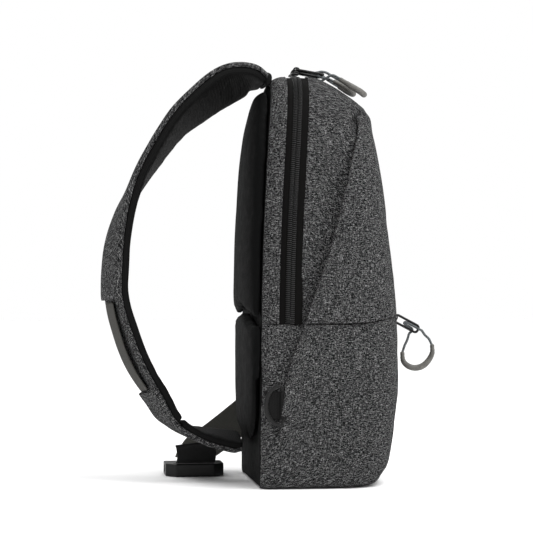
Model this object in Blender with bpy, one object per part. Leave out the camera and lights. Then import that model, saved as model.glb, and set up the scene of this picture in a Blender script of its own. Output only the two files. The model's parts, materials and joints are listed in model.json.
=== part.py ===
"""A stuffed sling bag standing on its base, with its padded cross-body strap, zips and buckle.

Metres, +Z up. The origin is the centre of the flat base, +X points out of the bag's front,
-X is the wearer's side and Y runs across the bag. Every soft part is a plain closed solid.
"""

import math

import bmesh
import bpy
import numpy as np

MM = 0.001
GAP = 0.3

# Driving dimensions of the bag, in millimetres.
HEIGHT = 400.0
HALF_WIDTH = 95.0
ARCH_START = 270.0
ARCH_POWER = 2.6
CORNER_DEPTH = 55.0
CORNER_POWER = 3.0
WALL = 2.5
SEAM_X = -53.5
TAPE_X = (-37.5, -17.0)
CHAIN_X = -27.25
CHAIN_HALF = 3.0
SEAM_Z = 157.0
FRONT_SEAM_RISE = 6.0
HINGE_X = CHAIN_X - 1.5
FOLD_ANGLE = 29.0

# The bag's front and top silhouette at its middle, as X against Z.
FRONT_Z = (0, 3, 10, 28, 62, 104, 140, 183, 237, 318, 344, 356, 364, 371, 385, 393, 398, 400)
FRONT_X = (60, 66, 72.4, 78.7, 83, 84.8, 84.8, 82.6, 77.6, 67.6, 62.5, 61, 58, 51, 33, 19, 7, 0)

# The back pad's thickness at its middle, against Z.
PAD_Z = (3, 36, 73, 149, 179, 300, 335, 370, 384, 391)
PAD_T = (1.5, 5, 8.5, 10.5, 13.4, 15.5, 15.0, 11, 7.5, 3)

# The strap's middle line in the XZ plane, from the top seam round to the end of its tail.
STRAP_XZ = (
    (-42.5, 397), (-54.5, 399.7), (-66.5, 397), (-84.5, 390), (-110.5, 371), (-134, 348.5),
    (-161.5, 308), (-174.5, 283), (-184, 256.6), (-190, 224.4), (-191, 181.7), (-181, 146),
    (-168, 113), (-149.5, 81.4), (-137.5, 62), (-120, 49), (-99, 42), (-80, 38.5), (-66, 36.5),
)
# Its roll at those points: positive turns the outer face towards -Y.
STRAP_ROLL = (0, -8, -18, -25, -18, -8, 0, 4, 8, 12, 12, 12, 12, 11, 8, 4, 0, 0, 0)
STRAP_HALF = 31.0
STRAP_PARTS = 72

MELANGE = ("melange", (0.085, 0.085, 0.09), 0.9, 0.0)
MESH = ("black_mesh", (0.012, 0.012, 0.013), 0.85, 0.0)
WEBBING = ("webbing", (0.014, 0.014, 0.015), 0.8, 0.0)
OLIVE = ("olive_webbing", (0.06, 0.06, 0.053), 0.8, 0.0)
ELASTIC = ("elastic", (0.045, 0.042, 0.036), 0.8, 0.0)
LINING = ("lining", (0.10, 0.10, 0.11), 0.7, 0.0)
BOARD = ("board", (0.02, 0.02, 0.02), 0.5, 0.0)
TAPE = ("zip_tape", (0.013, 0.013, 0.014), 0.8, 0.0)
COIL = ("zip_coil", (0.02, 0.02, 0.022), 0.35, 0.0)
SLIDER = ("slider", (0.018, 0.018, 0.02), 0.3, 1.0)
PLASTIC = ("plastic", (0.015, 0.015, 0.016), 0.4, 0.0)
CORD = ("cord", (0.07, 0.09, 0.10), 0.7, 0.0)
GRIP = ("grip", (0.10, 0.095, 0.085), 0.6, 0.0)


def clear_scene():
    for obj in list(bpy.data.objects):
        bpy.data.objects.remove(obj, do_unlink=True)


def material(spec):
    name, colour, roughness, metallic = spec
    found = bpy.data.materials.get(name)
    if found:
        return found
    made = bpy.data.materials.new(name)
    made.use_nodes = True
    shader = made.node_tree.nodes["Principled BSDF"]
    shader.inputs["Base Color"].default_value = (*colour, 1.0)
    shader.inputs["Roughness"].default_value = roughness
    shader.inputs["Metallic"].default_value = metallic
    made.diffuse_color = (*colour, 1.0)
    return made


def add(name, bm, spec, pivot=(0.0, 0.0, 0.0)):
    """Makes the object from a bmesh in millimetres, with its origin on pivot."""
    bmesh.ops.recalc_face_normals(bm, faces=bm.faces)
    for vert in bm.verts:
        vert.co = (vert.co - type(vert.co)(pivot)) * MM
    mesh = bpy.data.meshes.new(name)
    bm.to_mesh(mesh)
    bm.free()
    obj = bpy.data.objects.new(name, mesh)
    obj.location = [value * MM for value in pivot]
    mesh.materials.append(material(spec))
    mesh.shade_smooth()
    mesh.set_sharp_from_angle(angle=math.radians(35))
    bpy.context.scene.collection.objects.link(obj)
    return obj


def loft(rings, ring_closed=True, path_closed=False, caps=True, split=None):
    """A bmesh with quads between successive rings of points, capped where the path ends.

    Where the quads twist, split(i, j) says which way each one is cut into two triangles.
    """
    bm = bmesh.new()
    rows = [[bm.verts.new(point) for point in ring] for ring in rings]
    count = len(rows[0])
    last = count if ring_closed else count - 1
    pairs = list(zip(rows, rows[1:]))
    if path_closed:
        pairs.append((rows[-1], rows[0]))
    for first, second in pairs:
        for i in range(last):
            j = (i + 1) % count
            corners = [first[i], first[j], second[j], second[i]]
            if split is None:
                bm.faces.new(corners)
                continue
            if not split(i, j):
                corners = corners[1:] + corners[:1]
            bm.faces.new((corners[0], corners[1], corners[2]))
            bm.faces.new((corners[0], corners[2], corners[3]))
    if caps and not path_closed:
        bm.faces.new(rows[0])
        bm.faces.new(rows[-1])
    return bm


def box(low, high):
    bm = bmesh.new()
    bmesh.ops.create_cube(bm, size=1.0)
    for vert in bm.verts:
        for k in range(3):
            vert.co[k] = high[k] if vert.co[k] > 0 else low[k]
    return bm


def prism(outline, axis, low, high):
    """The polygon outline, given in the two other axes, extruded along axis from low to high."""
    rings = []
    for level in (low, high):
        ring = []
        for a, b in outline:
            point = [a, b]
            point.insert(axis, level)
            ring.append(point)
        rings.append(ring)
    return loft(rings)


def cut(obj, name, bm, spec=PLASTIC):
    """Cuts a bmesh, given in millimetres, out of obj with a hidden cutter."""
    cutter = add(name, bm, spec)
    cutter.hide_render = True
    cutter.display_type = "WIRE"
    boolean = obj.modifiers.new(name, "BOOLEAN")
    boolean.operation = "DIFFERENCE"
    boolean.object = cutter


def thicken(obj, thickness=WALL):
    solidify = obj.modifiers.new("wall", "SOLIDIFY")
    solidify.thickness = thickness * MM
    solidify.offset = -1.0
    solidify.use_even_offset = True


# ---------------------------------------------------------------- the bag's outer form


def lean(z):
    """How far the stuffed bag leans forward at height z."""
    return 17.0 * (z / HEIGHT) ** 3 - 2.5


def front_x(z):
    return float(np.interp(z, FRONT_Z, FRONT_X))


def arch_half_width(z):
    """The bag's half width at its back seam, which closes in an arch at the top."""
    if z > 120.0:
        width = HALF_WIDTH - 0.08 * (z - 120.0)
    else:
        width = HALF_WIDTH - 7.0 * ((120.0 - z) / 120.0) ** 2
    if z < 8.0:
        width -= 8.0 - math.sqrt(64.0 - (8.0 - z) ** 2)
    if z > ARCH_START:
        rise = min((z - ARCH_START) / (HEIGHT - ARCH_START), 1.0)
        width *= (1.0 - rise**ARCH_POWER) ** (1.0 / ARCH_POWER)
    return width


def section(z, rear, sides=3, corners=7):
    """The level outline at z, from the near rear corner round the front to the far one."""
    half = arch_half_width(z)
    front = front_x(z)
    depth = min(CORNER_DEPTH, front - rear)
    near = []
    for i in range(sides):
        near.append((rear + (front - depth - rear) * i / sides, -half))
    for i in range(corners):
        angle = math.pi / 2 * i / corners
        x = front - depth + depth * math.sin(angle) ** (2 / CORNER_POWER)
        near.append((x, -half * math.cos(angle) ** (2 / CORNER_POWER)))
    far = [(x, -y) for x, y in reversed(near)]
    return near + [(front, 0.0)] + far


def seam_z(x):
    """The height of the level seam under the front flap, which rises towards the front."""
    share = min(max((x - 35.0) / 50.0, 0.0), 1.0)
    return SEAM_Z + FRONT_SEAM_RISE * share * share * (3.0 - 2.0 * share)


def flap_edge_z(x):
    """The lower edge of the rigid part of the flap, above the fabric that folds."""
    return SEAM_Z + 0.6 + math.tan(math.radians(FOLD_ANGLE)) * (x - HINGE_X)


def row_on(height_of, rear_of, z_guess):
    """The outline whose every point sits at the height that height_of gives for its X."""
    count = len(section(z_guess, rear_of(z_guess)))
    row = []
    for j in range(count):
        z = z_guess
        for _ in range(8):
            x, y = section(z, rear_of(z))[j]
            z = height_of(x)
        row.append((x, y, z))
    return row


def flap_rear(z):
    return TAPE_X[1] + GAP + lean(z)


def tub_rear(z):
    return SEAM_X + lean(z)


def arch_levels(steps=9, last=0.985):
    """Heights up the arch, closer together where it turns over."""
    levels = []
    for i in range(1, steps + 1):
        angle = math.pi / 2 * last * i / steps
        levels.append(ARCH_START + (HEIGHT - ARCH_START) * math.sin(angle) ** (2 / ARCH_POWER))
    return levels


def make_tub():
    rows = []
    for z in (0.0, 3.0, 10.0, 28.0, 62.0, 110.0):
        rows.append([(x, y, z) for x, y in section(z, tub_rear(z))])
    rows.append(row_on(seam_z, tub_rear, SEAM_Z))
    bm = loft(rows, caps=False)
    bm.verts.ensure_lookup_table()
    bm.faces.new([bm.verts[i] for i in range(len(rows[0]))])
    thicken(add("lower_shell", bm, MELANGE))


def make_flap():
    edge = row_on(flap_edge_z, flap_rear, 175.0)
    upper = [(x, y, 232.0) for x, y in section(232.0, flap_rear(232.0))]
    middle = []
    for a, b in zip(edge, upper):
        z = (a[2] + b[2]) / 2
        middle.append(((a[0] + b[0]) / 2, (a[1] + b[1]) / 2, z))
    rows = [edge, middle, upper]
    for z in arch_levels():
        rows.append([(x, y, z) for x, y in section(z, flap_rear(z))])
    bm = loft(rows, ring_closed=False, caps=False)
    bm.verts.ensure_lookup_table()
    count = len(rows[0])
    bm.faces.new([bm.verts[i] for i in range(len(bm.verts) - count, len(bm.verts))])
    thicken(add("front_flap", bm, MELANGE, (HINGE_X, 0.0, SEAM_Z)))


def make_fold():
    low = row_on(lambda x: seam_z(x) + GAP, flap_rear, SEAM_Z)
    high = row_on(lambda x: flap_edge_z(x) - GAP, flap_rear, 175.0)
    middle = []
    for a, b in zip(low, high):
        middle.append(tuple((p + q) / 2 for p, q in zip(a, b)))
    bm = loft([low, middle, high], ring_closed=False, caps=False)
    thicken(add("flap_fold", bm, MELANGE), 1.5)


def arch_path(z_start, straight=4, steps=9):
    """Points (y, z) and outward normals up the near side, over the arch and down the far side."""
    near = []
    for i in range(straight):
        z = z_start + (ARCH_START - z_start) * i / straight
        near.append((-arch_half_width(z), z))
    for z in [ARCH_START] + arch_levels(steps):
        near.append((-arch_half_width(z), z))
    points = near + [(0.0, HEIGHT)] + [(-y, z) for y, z in reversed(near)]
    normals = []
    for i in range(len(points)):
        before = points[max(i - 1, 0)]
        after = points[min(i + 1, len(points) - 1)]
        dy, dz = after[0] - before[0], after[1] - before[1]
        length = math.hypot(dy, dz)
        normals.append((-dz / length, dy / length))
    return points, normals


def band(name, stations, thickness, spec, z_start=SEAM_Z + 1.0):
    """A strip along the arch. Each station is an X and how far its face is set in."""
    rings = []
    points, normals = arch_path(z_start)
    outline = [(x, inset) for x, inset in stations]
    outline += [(x, inset + thickness) for x, inset in reversed(stations)]
    for (y, z), (ny, nz) in zip(points, normals):
        ring = []
        for x, inset in outline:
            ring.append((x + lean(z), y - ny * inset, z - nz * inset))
        rings.append(ring)
    return add(name, loft(rings), spec)


def make_zip():
    band(
        "rear_gusset",
        ((SEAM_X, 9.0), (-49.5, 3.2), (-44.5, 0.8), (TAPE_X[0] - GAP, 0.0)),
        WALL,
        MELANGE,
    )
    inner = CHAIN_HALF + GAP
    band("zip_tape_rear", ((TAPE_X[0], 0.8), (CHAIN_X - inner, 0.8)), 1.0, TAPE)
    above_fold = flap_edge_z(TAPE_X[1])
    band("zip_tape_front", ((CHAIN_X + inner, 0.8), (TAPE_X[1], 0.8)), 1.0, TAPE, above_fold)
    edge = GAP / 2
    band("zip_coil_rear", ((CHAIN_X - CHAIN_HALF, 0.2), (CHAIN_X - edge, 0.0)), 1.8, COIL)
    above_fold = flap_edge_z(CHAIN_X + CHAIN_HALF)
    stations = ((CHAIN_X + edge, 0.0), (CHAIN_X + CHAIN_HALF, 0.2))
    band("zip_coil_front", stations, 1.8, COIL, above_fold)


def make_insides():
    """The stiffening boards, the wall behind the front pocket and the sleeve pocket."""
    rings = []
    for level in (-50.2, -48.2):
        points, normals = arch_path(8.0, straight=3, steps=7)
        ring = []
        for (y, z), (ny, nz) in zip(points, normals):
            ring.append((level + lean(z), y - ny * 9.5, z - nz * 9.5))
        rings.append(ring)
    add("back_board", loft(rings), BOARD)
    rings = []
    for level, inset in ((3.2, 9.0), (5.2, 8.0)):
        outline = section(level, tub_rear(level) + 7.0, sides=2, corners=5)
        half = arch_half_width(level)
        scale = (half - inset) / half
        rings.append([(x * scale - 4.0 if x > 0 else x, y * scale, level) for x, y in outline])
    add("base_board", loft(rings), BOARD)
    add("pocket_wall", box((50.0, -70.0, 7.0), (51.2, 70.0, 152.0)), LINING)
    add("sleeve_pocket", box((-44.5, -62.0, 30.0), (-43.3, 62.0, 210.0)), LINING)


# ---------------------------------------------------------------- the back pad


def chevron_z(y):
    """The height of the groove between the two back pads, a shallow upside-down V."""
    return 171.0 - 14.0 * abs(y) / HALF_WIDTH


def back_pad(name, low_of, high_of, levels):
    """A pad whose rows run from low_of(y) to high_of(y), crowned towards the wearer."""
    rings = []
    across = [i / 4 - 1.0 for i in range(9)]
    for share in levels:
        middle = low_of(0.0) + (high_of(0.0) - low_of(0.0)) * share
        half = max(arch_half_width(min(middle, 391.0)) - 6.0, 8.0)
        face, crown = [], []
        for side in across:
            y = half * side
            z = low_of(y) + (high_of(y) - low_of(y)) * share
            x = SEAM_X - GAP + lean(z)
            depth = float(np.interp(z, PAD_Z, PAD_T))
            face.append((x, y, z))
            crown.append((x - depth * (0.42 + 0.58 * (1.0 - abs(side) ** 2.5)), y, z))
        rings.append(face + list(reversed(crown)))
    add(name, loft(rings), MESH)


def make_back_pads():
    back_pad("back_pad_upper", lambda y: chevron_z(y) + 1.2, lambda y: 388.0,
             (0.0, 0.04, 0.2, 0.4, 0.55, 0.68, 0.78, 0.86, 0.92, 0.965, 1.0))
    back_pad("back_pad_lower", lambda y: 3.0, lambda y: chevron_z(y) - 1.2,
             (0.0, 0.08, 0.25, 0.5, 0.75, 0.96, 1.0))


# ---------------------------------------------------------------- sweeps


def sweep(centres, sides, ups, sections, path_closed=False):
    """Rings of section points (a, b), placed at centre + a * side + b * up."""
    rings = []
    for centre, side, up, outline in zip(centres, sides, ups, sections):
        rings.append([tuple(centre + a * side + b * up) for a, b in outline])
    first = sections[0]
    return loft(rings, path_closed=path_closed, split=lambda i, j: first[i][0] < first[j][0])


def smooth_line(points, count):
    """count points at even lengths along a smooth curve through the given ones."""
    points = np.array(points, float)
    ends = np.vstack([2 * points[0] - points[1], points, 2 * points[-1] - points[-2]])
    fine = []
    for i in range(len(points) - 1):
        a, b, c, d = ends[i:i + 4]
        for t in np.linspace(0.0, 1.0, 24, endpoint=False):
            fine.append(0.5 * (2 * b + (c - a) * t + (2 * a - 5 * b + 4 * c - d) * t**2
                               + (3 * b - a - 3 * c + d) * t**3))
    fine = np.array(fine + [points[-1]])
    steps = np.linalg.norm(np.diff(fine[:, :3], axis=0), axis=1)
    length = np.concatenate([[0.0], np.cumsum(steps)])
    wanted = np.linspace(0.0, length[-1], count)
    return np.stack([np.interp(wanted, length, column) for column in fine.T], axis=1)


def directions(line):
    ahead = np.gradient(line, axis=0)
    return ahead / np.linalg.norm(ahead, axis=1)[:, None]


def flat_box(half, low, high, chamfer=0.0):
    """A strap's cross-section: half width to each side, and its faces at low and high."""
    if not chamfer:
        return [(-half, low), (half, low), (half, high), (-half, high)]
    inner = half - chamfer
    c = min(chamfer, (high - low) / 2.5)
    return [(-inner, low), (inner, low), (half, low + c), (half, high - c),
            (inner, high), (-inner, high), (-half, high - c), (-half, low + c)]


def strap_frames():
    data = [(x, 0.0, z, roll) for (x, z), roll in zip(STRAP_XZ, STRAP_ROLL)]
    line = smooth_line(data, STRAP_PARTS + 1)
    centres, rolls = line[:, :3], np.radians(line[:, 3])
    ahead = directions(centres)
    outward = np.cross((0.0, 1.0, 0.0), ahead)
    across = np.tile((0.0, 1.0, 0.0), (len(line), 1))
    turn, rest = np.cos(rolls)[:, None], np.sin(rolls)[:, None]
    ups = turn * outward - rest * across
    sides = turn * across + rest * outward
    return centres, sides, ups


def strap_layer(name, start, stop, low, high, spec, half=STRAP_HALF, chamfer=0.0, trim=0.0):
    """A layer of the strap between two of its frames, from low to high off its middle.

    trim shortens its start by that much.
    """
    centres, sides, ups = strap_frames()
    picked = [i for i in range(start, stop + 1) if i % 2 == 0]
    centres[start] += directions(centres)[start] * trim
    outline = flat_box(half, low, high, chamfer)
    bm = sweep(centres[picked], sides[picked], ups[picked], [outline] * len(picked))
    return add(name, bm, spec)


# Frames of the strap at which its layers start and stop.
PAD_START = 0
SLEEVE_END = 42
LOWER_SLEEVE = 56
PAD_END = 62
TAIL_END = 72

# The webbing tab that joins the strap's end to the top of the back seam, in XZ.
ANCHOR = ((-42.0, 391.6), (-39.8, 392.6), (-36.6, 399.0), (-37.2, 402.0), (-40.2, 403.4))


def make_strap():
    strap_layer("strap_pad", PAD_START, PAD_END, -7.0, 1.2, MESH, chamfer=2.0)
    strap_layer("strap_face", PAD_START, PAD_END, 1.7, 3.5, MELANGE)
    strap_layer("strap_sleeve_upper", PAD_START, SLEEVE_END, 3.9, 7.0, MELANGE, chamfer=1.2)
    strap_layer("strap_sleeve_lower", LOWER_SLEEVE, PAD_END, 3.9, 7.0, MELANGE, chamfer=1.2)
    centres, sides, ups = strap_frames()
    picked = list(range(SLEEVE_END + 1, LOWER_SLEEVE))
    bow = [math.sin(math.pi * i / (len(picked) - 1)) for i in range(len(picked))]
    outlines = [flat_box(15.0, 5.0 + 2.2 * rise, 6.4 + 2.2 * rise) for rise in bow]
    add("strap_band", sweep(centres[picked], sides[picked], ups[picked], outlines), ELASTIC)
    strap_layer("strap_tail", PAD_END, TAIL_END, -5.5, 2.0, MESH, half=28.0, chamfer=2.0, trim=0.5)
    add("strap_anchor", prism(ANCHOR, 1, -22.0, 22.0), WEBBING)


# ---------------------------------------------------------------- zip pulls

PULLS = ("near", "far", "pocket")


def pull_axes(name):
    """The pull frame's start, its length direction and its in-plane direction across that."""
    if name == "near":
        start, along, across = (-12.0, -6.6, 407.0), (33.0, -4.0, -6.0), (0.0, 1.0, 0.0)
    elif name == "far":
        start, along, across = (-12.0, 8.2, 406.0), (31.0, 8.0, -5.0), (0.0, 1.0, 0.0)
    else:
        start, along, across = (88.2, 0.0, 161.6), (31.0, 0.0, -16.5), (0.0, 0.0, 1.0)
    along = np.array(along) / np.linalg.norm(along)
    across = np.array(across) - along * np.dot(across, along)
    across /= np.linalg.norm(across)
    return np.array(start), along, across


FRAME_LENGTH = 29.0
FRAME_HALF = 4.8
FRAME_BAR = 1.1
CORD_RADIUS = 1.25
CORD_SIDE = FRAME_BAR + CORD_RADIUS + GAP

# A cord's way through the frame's hole and over its end bar, as along, across and out of plane.
CORD_INSIDE = (
    (19.0, -1.3, -0.6), (13.5, -1.1, 0.0), (12.0, 0.0, 0.0), (13.5, 1.1, 0.0), (18.5, 1.3, 0.4),
    (22.5, 1.2, 1.6), (25.6, 1.1, CORD_SIDE + 0.2), (28.5, 1.0, CORD_SIDE + 0.3),
    (31.5, 1.0, CORD_SIDE),
)
OVER_END = ((31.5, -1.0, -CORD_SIDE), (28.5, -1.0, -CORD_SIDE - 0.3),
            (25.6, -1.1, -CORD_SIDE - 0.2), (22.5, -1.3, -1.8))
OVER_SIDE = ((22.3, -7.6, -CORD_SIDE + 0.4), (23.2, -5.4, -CORD_SIDE - 0.3),
             (23.7, -3.2, -CORD_SIDE - 0.3), (22.6, -1.6, -1.9))
CORD_OUT = {"near": OVER_END, "far": OVER_END, "pocket": OVER_SIDE}

# Where each pull's cord runs once it has left the frame, and its grip between the two ends.
CORD_ENDS = {
    "near": (((24.0, -14.0, 401.4), (31.0, -17.0, 397.8)),
             ((25.0, -8.5, 400.8), (34.0, -4.0, 396.6), (42.0, -2.4, 392.2))),
    "far": (((22.0, 12.0, 400.6), (29.0, 10.0, 397.6)),
            ((24.5, 18.0, 399.4), (31.0, 21.5, 396.0), (36.0, 24.0, 393.6))),
    "pocket": (((102.4, 1.0, 138.8), (99.4, 0.5, 132.6), (97.3, 0.0, 126.4)),
               ((119.6, -1.8, 143.4), (123.8, -0.9, 139.6), (127.0, 0.0, 133.6))),
}
GRIP_PATHS = {
    "near": ((31.6, -17.6, 397.0), (40.0, -22.0, 391.0), (50.0, -20.0, 385.5),
             (56.0, -12.0, 382.8), (54.0, -4.8, 385.6), (42.8, -2.2, 391.8)),
    "far": ((29.6, 9.6, 397.4), (38.0, 7.0, 392.8), (46.0, 10.0, 388.6),
            (50.0, 18.0, 385.8), (45.0, 25.0, 388.6), (36.7, 24.2, 393.2)),
    "pocket": ((97.0, 0.0, 125.7), (98.0, 0.0, 117.5), (103.0, 0.0, 112.3), (110.0, 0.0, 110.4),
               (117.5, 0.0, 112.2), (123.5, 0.0, 117.6), (127.4, 0.0, 125.0), (127.4, 0.0, 133.0)),
}


def rounded_loop(length, half, radius, steps=3):
    """A rounded rectangle from 0 to length, half to each side, as (along, across) points."""
    centres = ((length - radius, half - radius, 0), (radius, half - radius, 1),
               (radius, radius - half, 2), (length - radius, radius - half, 3))
    loop = []
    for u, v, quarter in centres:
        for i in range(steps + 1):
            angle = math.pi / 2 * (quarter + i / steps)
            loop.append((u + radius * math.cos(angle), v + radius * math.sin(angle)))
    return loop


def make_pull(name):
    start, along, across = pull_axes(name)
    normal = np.cross(along, across)
    rings = []
    for u, v in rounded_loop(FRAME_LENGTH, FRAME_HALF, 3.4):
        inner_u = FRAME_LENGTH / 2 + (u - FRAME_LENGTH / 2) * (1 - 2 * FRAME_BAR * 2 / FRAME_LENGTH)
        inner_v = v * (1 - FRAME_BAR * 2 / FRAME_HALF)
        ring = []
        for a, b, side in ((u, v, -1), (u, v, 1), (inner_u, inner_v, 1), (inner_u, inner_v, -1)):
            ring.append(tuple(start + along * a + across * b + normal * side * FRAME_BAR))
        rings.append(ring)
    pivot = tuple(start + along * FRAME_BAR)
    add(f"pull_frame_{name}", loft(rings, path_closed=True), PLASTIC, pivot)

    first, last = CORD_ENDS[name]
    local = CORD_OUT[name] + CORD_INSIDE
    inside = [tuple(start + along * u + across * v + normal * w) for u, v, w in local]
    route = smooth_line(list(reversed(first)) + inside + list(last), 34)
    curve = bpy.data.curves.new(f"pull_cord_{name}", "CURVE")
    curve.dimensions = "3D"
    curve.bevel_depth = CORD_RADIUS * MM
    curve.bevel_resolution = 2
    curve.use_fill_caps = True
    spline = curve.splines.new("POLY")
    spline.points.add(len(route) - 1)
    for point, place in zip(spline.points, route):
        point.co = (*(place * MM), 1.0)
    curve.materials.append(material(CORD))
    bpy.context.scene.collection.objects.link(bpy.data.objects.new(f"pull_cord_{name}", curve))

    line = smooth_line(GRIP_PATHS[name], 15)
    ahead = directions(line)
    mean_up = np.cross(line[5] - line[0], line[10] - line[0])
    mean_up /= np.linalg.norm(mean_up)
    sides = np.cross(ahead, mean_up)
    sides /= np.linalg.norm(sides, axis=1)[:, None]
    outlines = []
    for i in range(len(line)):
        radius = 2.1 + 1.0 * math.sin(math.pi * i / (len(line) - 1))
        turns = [math.pi / 4 * k for k in range(8)]
        outlines.append([(radius * math.cos(t), radius * math.sin(t)) for t in turns])
    ups = np.cross(sides, ahead)
    add(f"pull_grip_{name}", sweep(line, sides, ups, outlines), GRIP)


SLIDER_TOP = (1.0, 0.78, 0.5)


def slider_block(name, centre, spread):
    """A tapered slider body: spread gives its half sizes along X, Y and Z."""
    cx, cy, cz = centre
    rings = []
    for level, scale in zip((-1.0, 0.1, 1.0), SLIDER_TOP):
        ring = []
        for k in range(8):
            turn = math.pi / 4 * (k + 0.5)
            ring.append((math.cos(turn) * scale * 1.08, math.sin(turn) * scale * 1.08, level))
        rings.append(ring)
    if name == "pocket_slider":
        placed = [[(cx + c * spread[0], cy + a * spread[1], cz + b * spread[2])
                   for a, b, c in ring] for ring in rings]
    else:
        placed = [[(cx + a * spread[0], cy + b * spread[1], cz + c * spread[2])
                   for a, b, c in ring] for ring in rings]
    add(name, loft(placed), SLIDER, centre)


def make_pulls():
    slider_block("main_slider_near", (-13.0, -7.4, 402.5), (4.6, 6.2, 1.3))
    slider_block("main_slider_far", (-13.0, 7.4, 402.5), (4.6, 6.2, 1.3))
    slider_block("pocket_slider", (85.6, 0.0, 161.0), (1.1, 6.0, 4.2))
    for name in PULLS:
        make_pull(name)


# ---------------------------------------------------------------- side rings and buckle

RING_X = -36.5
RING_Y = 98.3


def make_ring(name, side):
    """A D-ring whose straight bar stands at RING_X and whose curve faces the wearer."""
    path, widths = [], []
    for z in (64.0, 74.0, 87.0, 97.0):
        path.append((RING_X, z))
        widths.append((1.2, 1.2))
    for i in range(13):
        angle = math.pi * i / 12
        path.append((RING_X - 2.0 - 14.0 * math.sin(angle), 80.5 + 18.9 * math.cos(angle)))
        widths.append((2.4, 1.2))
    rings = []
    count = len(path)
    for i, ((x, z), (in_plane, out)) in enumerate(zip(path, widths)):
        before, after = path[i - 1], path[(i + 1) % count]
        dx, dz = after[0] - before[0], after[1] - before[1]
        length = math.hypot(dx, dz)
        nx, nz = dz / length, -dx / length
        ring = []
        for a, b in ((-1, -1), (1, -1), (1, 1), (-1, 1)):
            ring.append((x + nx * a * in_plane, side * RING_Y + b * out, z + nz * a * in_plane))
        rings.append(ring)
    add(name, loft(rings, path_closed=True), PLASTIC, (RING_X, side * RING_Y, 80.5))


def make_tab(name, side):
    """The webbing tab that is sewn to the side and folds over the ring's bar."""
    outline = ((-52.5, 95.2), (-31.0, 95.2), (-31.0, 101.6), (-40.5, 101.6), (-40.5, 100.5),
               (-32.2, 100.5), (-32.2, 96.1), (-52.5, 96.1))
    add(name, prism([(x, side * y) for x, y in outline], 2, 67.5, 93.5), WEBBING)


BUCKLE_X = (-137.0, -78.0)
BUCKLE_Y = (38.0, 78.0)
BUCKLE_TOP = 13.0
SOCKET_X = (-131.0, -84.0)


def chamfered(low, high, y_low, y_high, corner):
    """A plan outline whose two corners at y_low are cut off."""
    return ((low + corner, y_low), (high - corner, y_low), (high, y_low + corner),
            (high, y_high), (low, y_high), (low, y_low + corner))


def make_buckle():
    outline = chamfered(*BUCKLE_X, *BUCKLE_Y, 10.0)
    housing = add("buckle_female", prism(outline, 2, 0.0, BUCKLE_TOP), PLASTIC)
    cut(housing, "socket_cutter", box((SOCKET_X[0], 53.0, 2.6), (SOCKET_X[1], 90.0, 10.4)))
    cut(housing, "window_cutter", box((-150.0, 56.0, 2.6), (-65.0, 68.0, 10.4)))
    cut(housing, "web_slot_cutter", box((-129.0, 44.0, -5.0), (-86.0, 47.5, 20.0)))

    middle = (SOCKET_X[0] + SOCKET_X[1]) / 2
    outline = ((middle - 5, 56.0), (middle + 5, 56.0), (middle + 5, 78.6), (-84.5, 78.6),
               (-82.0, 84.0), (-84.0, 104.0), (-131.0, 104.0), (-133.0, 84.0),
               (-130.5, 78.6), (middle - 5, 78.6))
    plug = add("buckle_male", prism(outline, 2, 3.2, 9.8), PLASTIC)
    cut(plug, "plug_slot_cutter", box((-128.0, 93.0, -5.0), (-87.0, 97.0, 20.0)))
    for name, side in (("left", -1), ("right", 1)):
        outline = [(middle + side * u, v) for u, v in (
            (17.5, 78.2), (21.0, 78.2), (20.4, 69.0), (23.1, 67.6), (23.1, 61.0), (20.0, 57.0),
            (16.0, 57.0), (17.0, 66.0))]
        pivot = (middle + side * 19.7, 78.2, 6.5)
        add(f"buckle_arm_{name}", prism(outline, 2, 3.6, 9.4), PLASTIC, pivot)


def ribbon(name, points, widths, spec, half=19.5, thickness=1.4, count=16):
    """Flat webbing along points; widths gives its width direction at each of them."""
    data = [(*point, *width) for point, width in zip(points, widths)]
    line = smooth_line(data, count)
    centres = line[:, :3]
    ahead = directions(centres)
    sides = line[:, 3:] - ahead * np.sum(line[:, 3:] * ahead, axis=1)[:, None]
    sides /= np.linalg.norm(sides, axis=1)[:, None]
    ups = np.cross(ahead, sides)
    outline = flat_box(half, -thickness / 2, thickness / 2)
    add(name, sweep(centres, sides, ups, [outline] * count), spec)


def make_webbing():
    x = (BUCKLE_X[0] + BUCKLE_X[1]) / 2
    ribbon("strap_webbing",
           ((x - 4, -12.0, 34.5), (x - 4, 2.0, 33.5), (x - 2, 14.0, 30.0), (x, 24.0, 22.0),
            (x, 31.0, 17.0), (x, 37.0, 14.8), (x, 43.5, 14.2)),
           ((1, 0, 0.1), (1, 0, 0.1), (1, 0, 0.06), (1, 0, 0.03), (1, 0, 0), (1, 0, 0), (1, 0, 0)),
           WEBBING)
    ribbon("lower_webbing",
           ((x + 1, 99.0, 13.0), (x + 3, 106.5, 16.8), (x + 10, 112.0, 22.0),
            (x + 22, 111.5, 30.0), (x + 35, 109.0, 40.0), (-59.0, 106.0, 51.0),
            (-45.0, 104.3, 62.5)),
           ((1, 0, 0), (1, 0, 0.1), (0.95, 0, -0.3), (0.78, 0, -0.62), (0.66, 0, -0.75),
            (0.62, 0, -0.78), (0.61, 0, -0.79)), OLIVE, half=17.0, count=22)


def main():
    clear_scene()
    make_tub()
    make_flap()
    make_fold()
    make_zip()
    make_insides()
    make_back_pads()
    make_strap()
    make_pulls()
    for name, side in (("near", -1), ("far", 1)):
        make_tab(f"side_tab_{name}", side)
        make_ring(f"d_ring_{name}", side)
    make_buckle()
    make_webbing()


main()
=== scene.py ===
"""The looks of the standing sling bag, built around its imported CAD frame.

Lengths are written in millimetres and turned into metres where a mesh is made. +X is the
front of the bag, -X the wearer's side, Y runs across it and +Z is up.
"""

import json
import math

import bmesh
import bpy
import numpy as np
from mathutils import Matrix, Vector, noise

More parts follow.
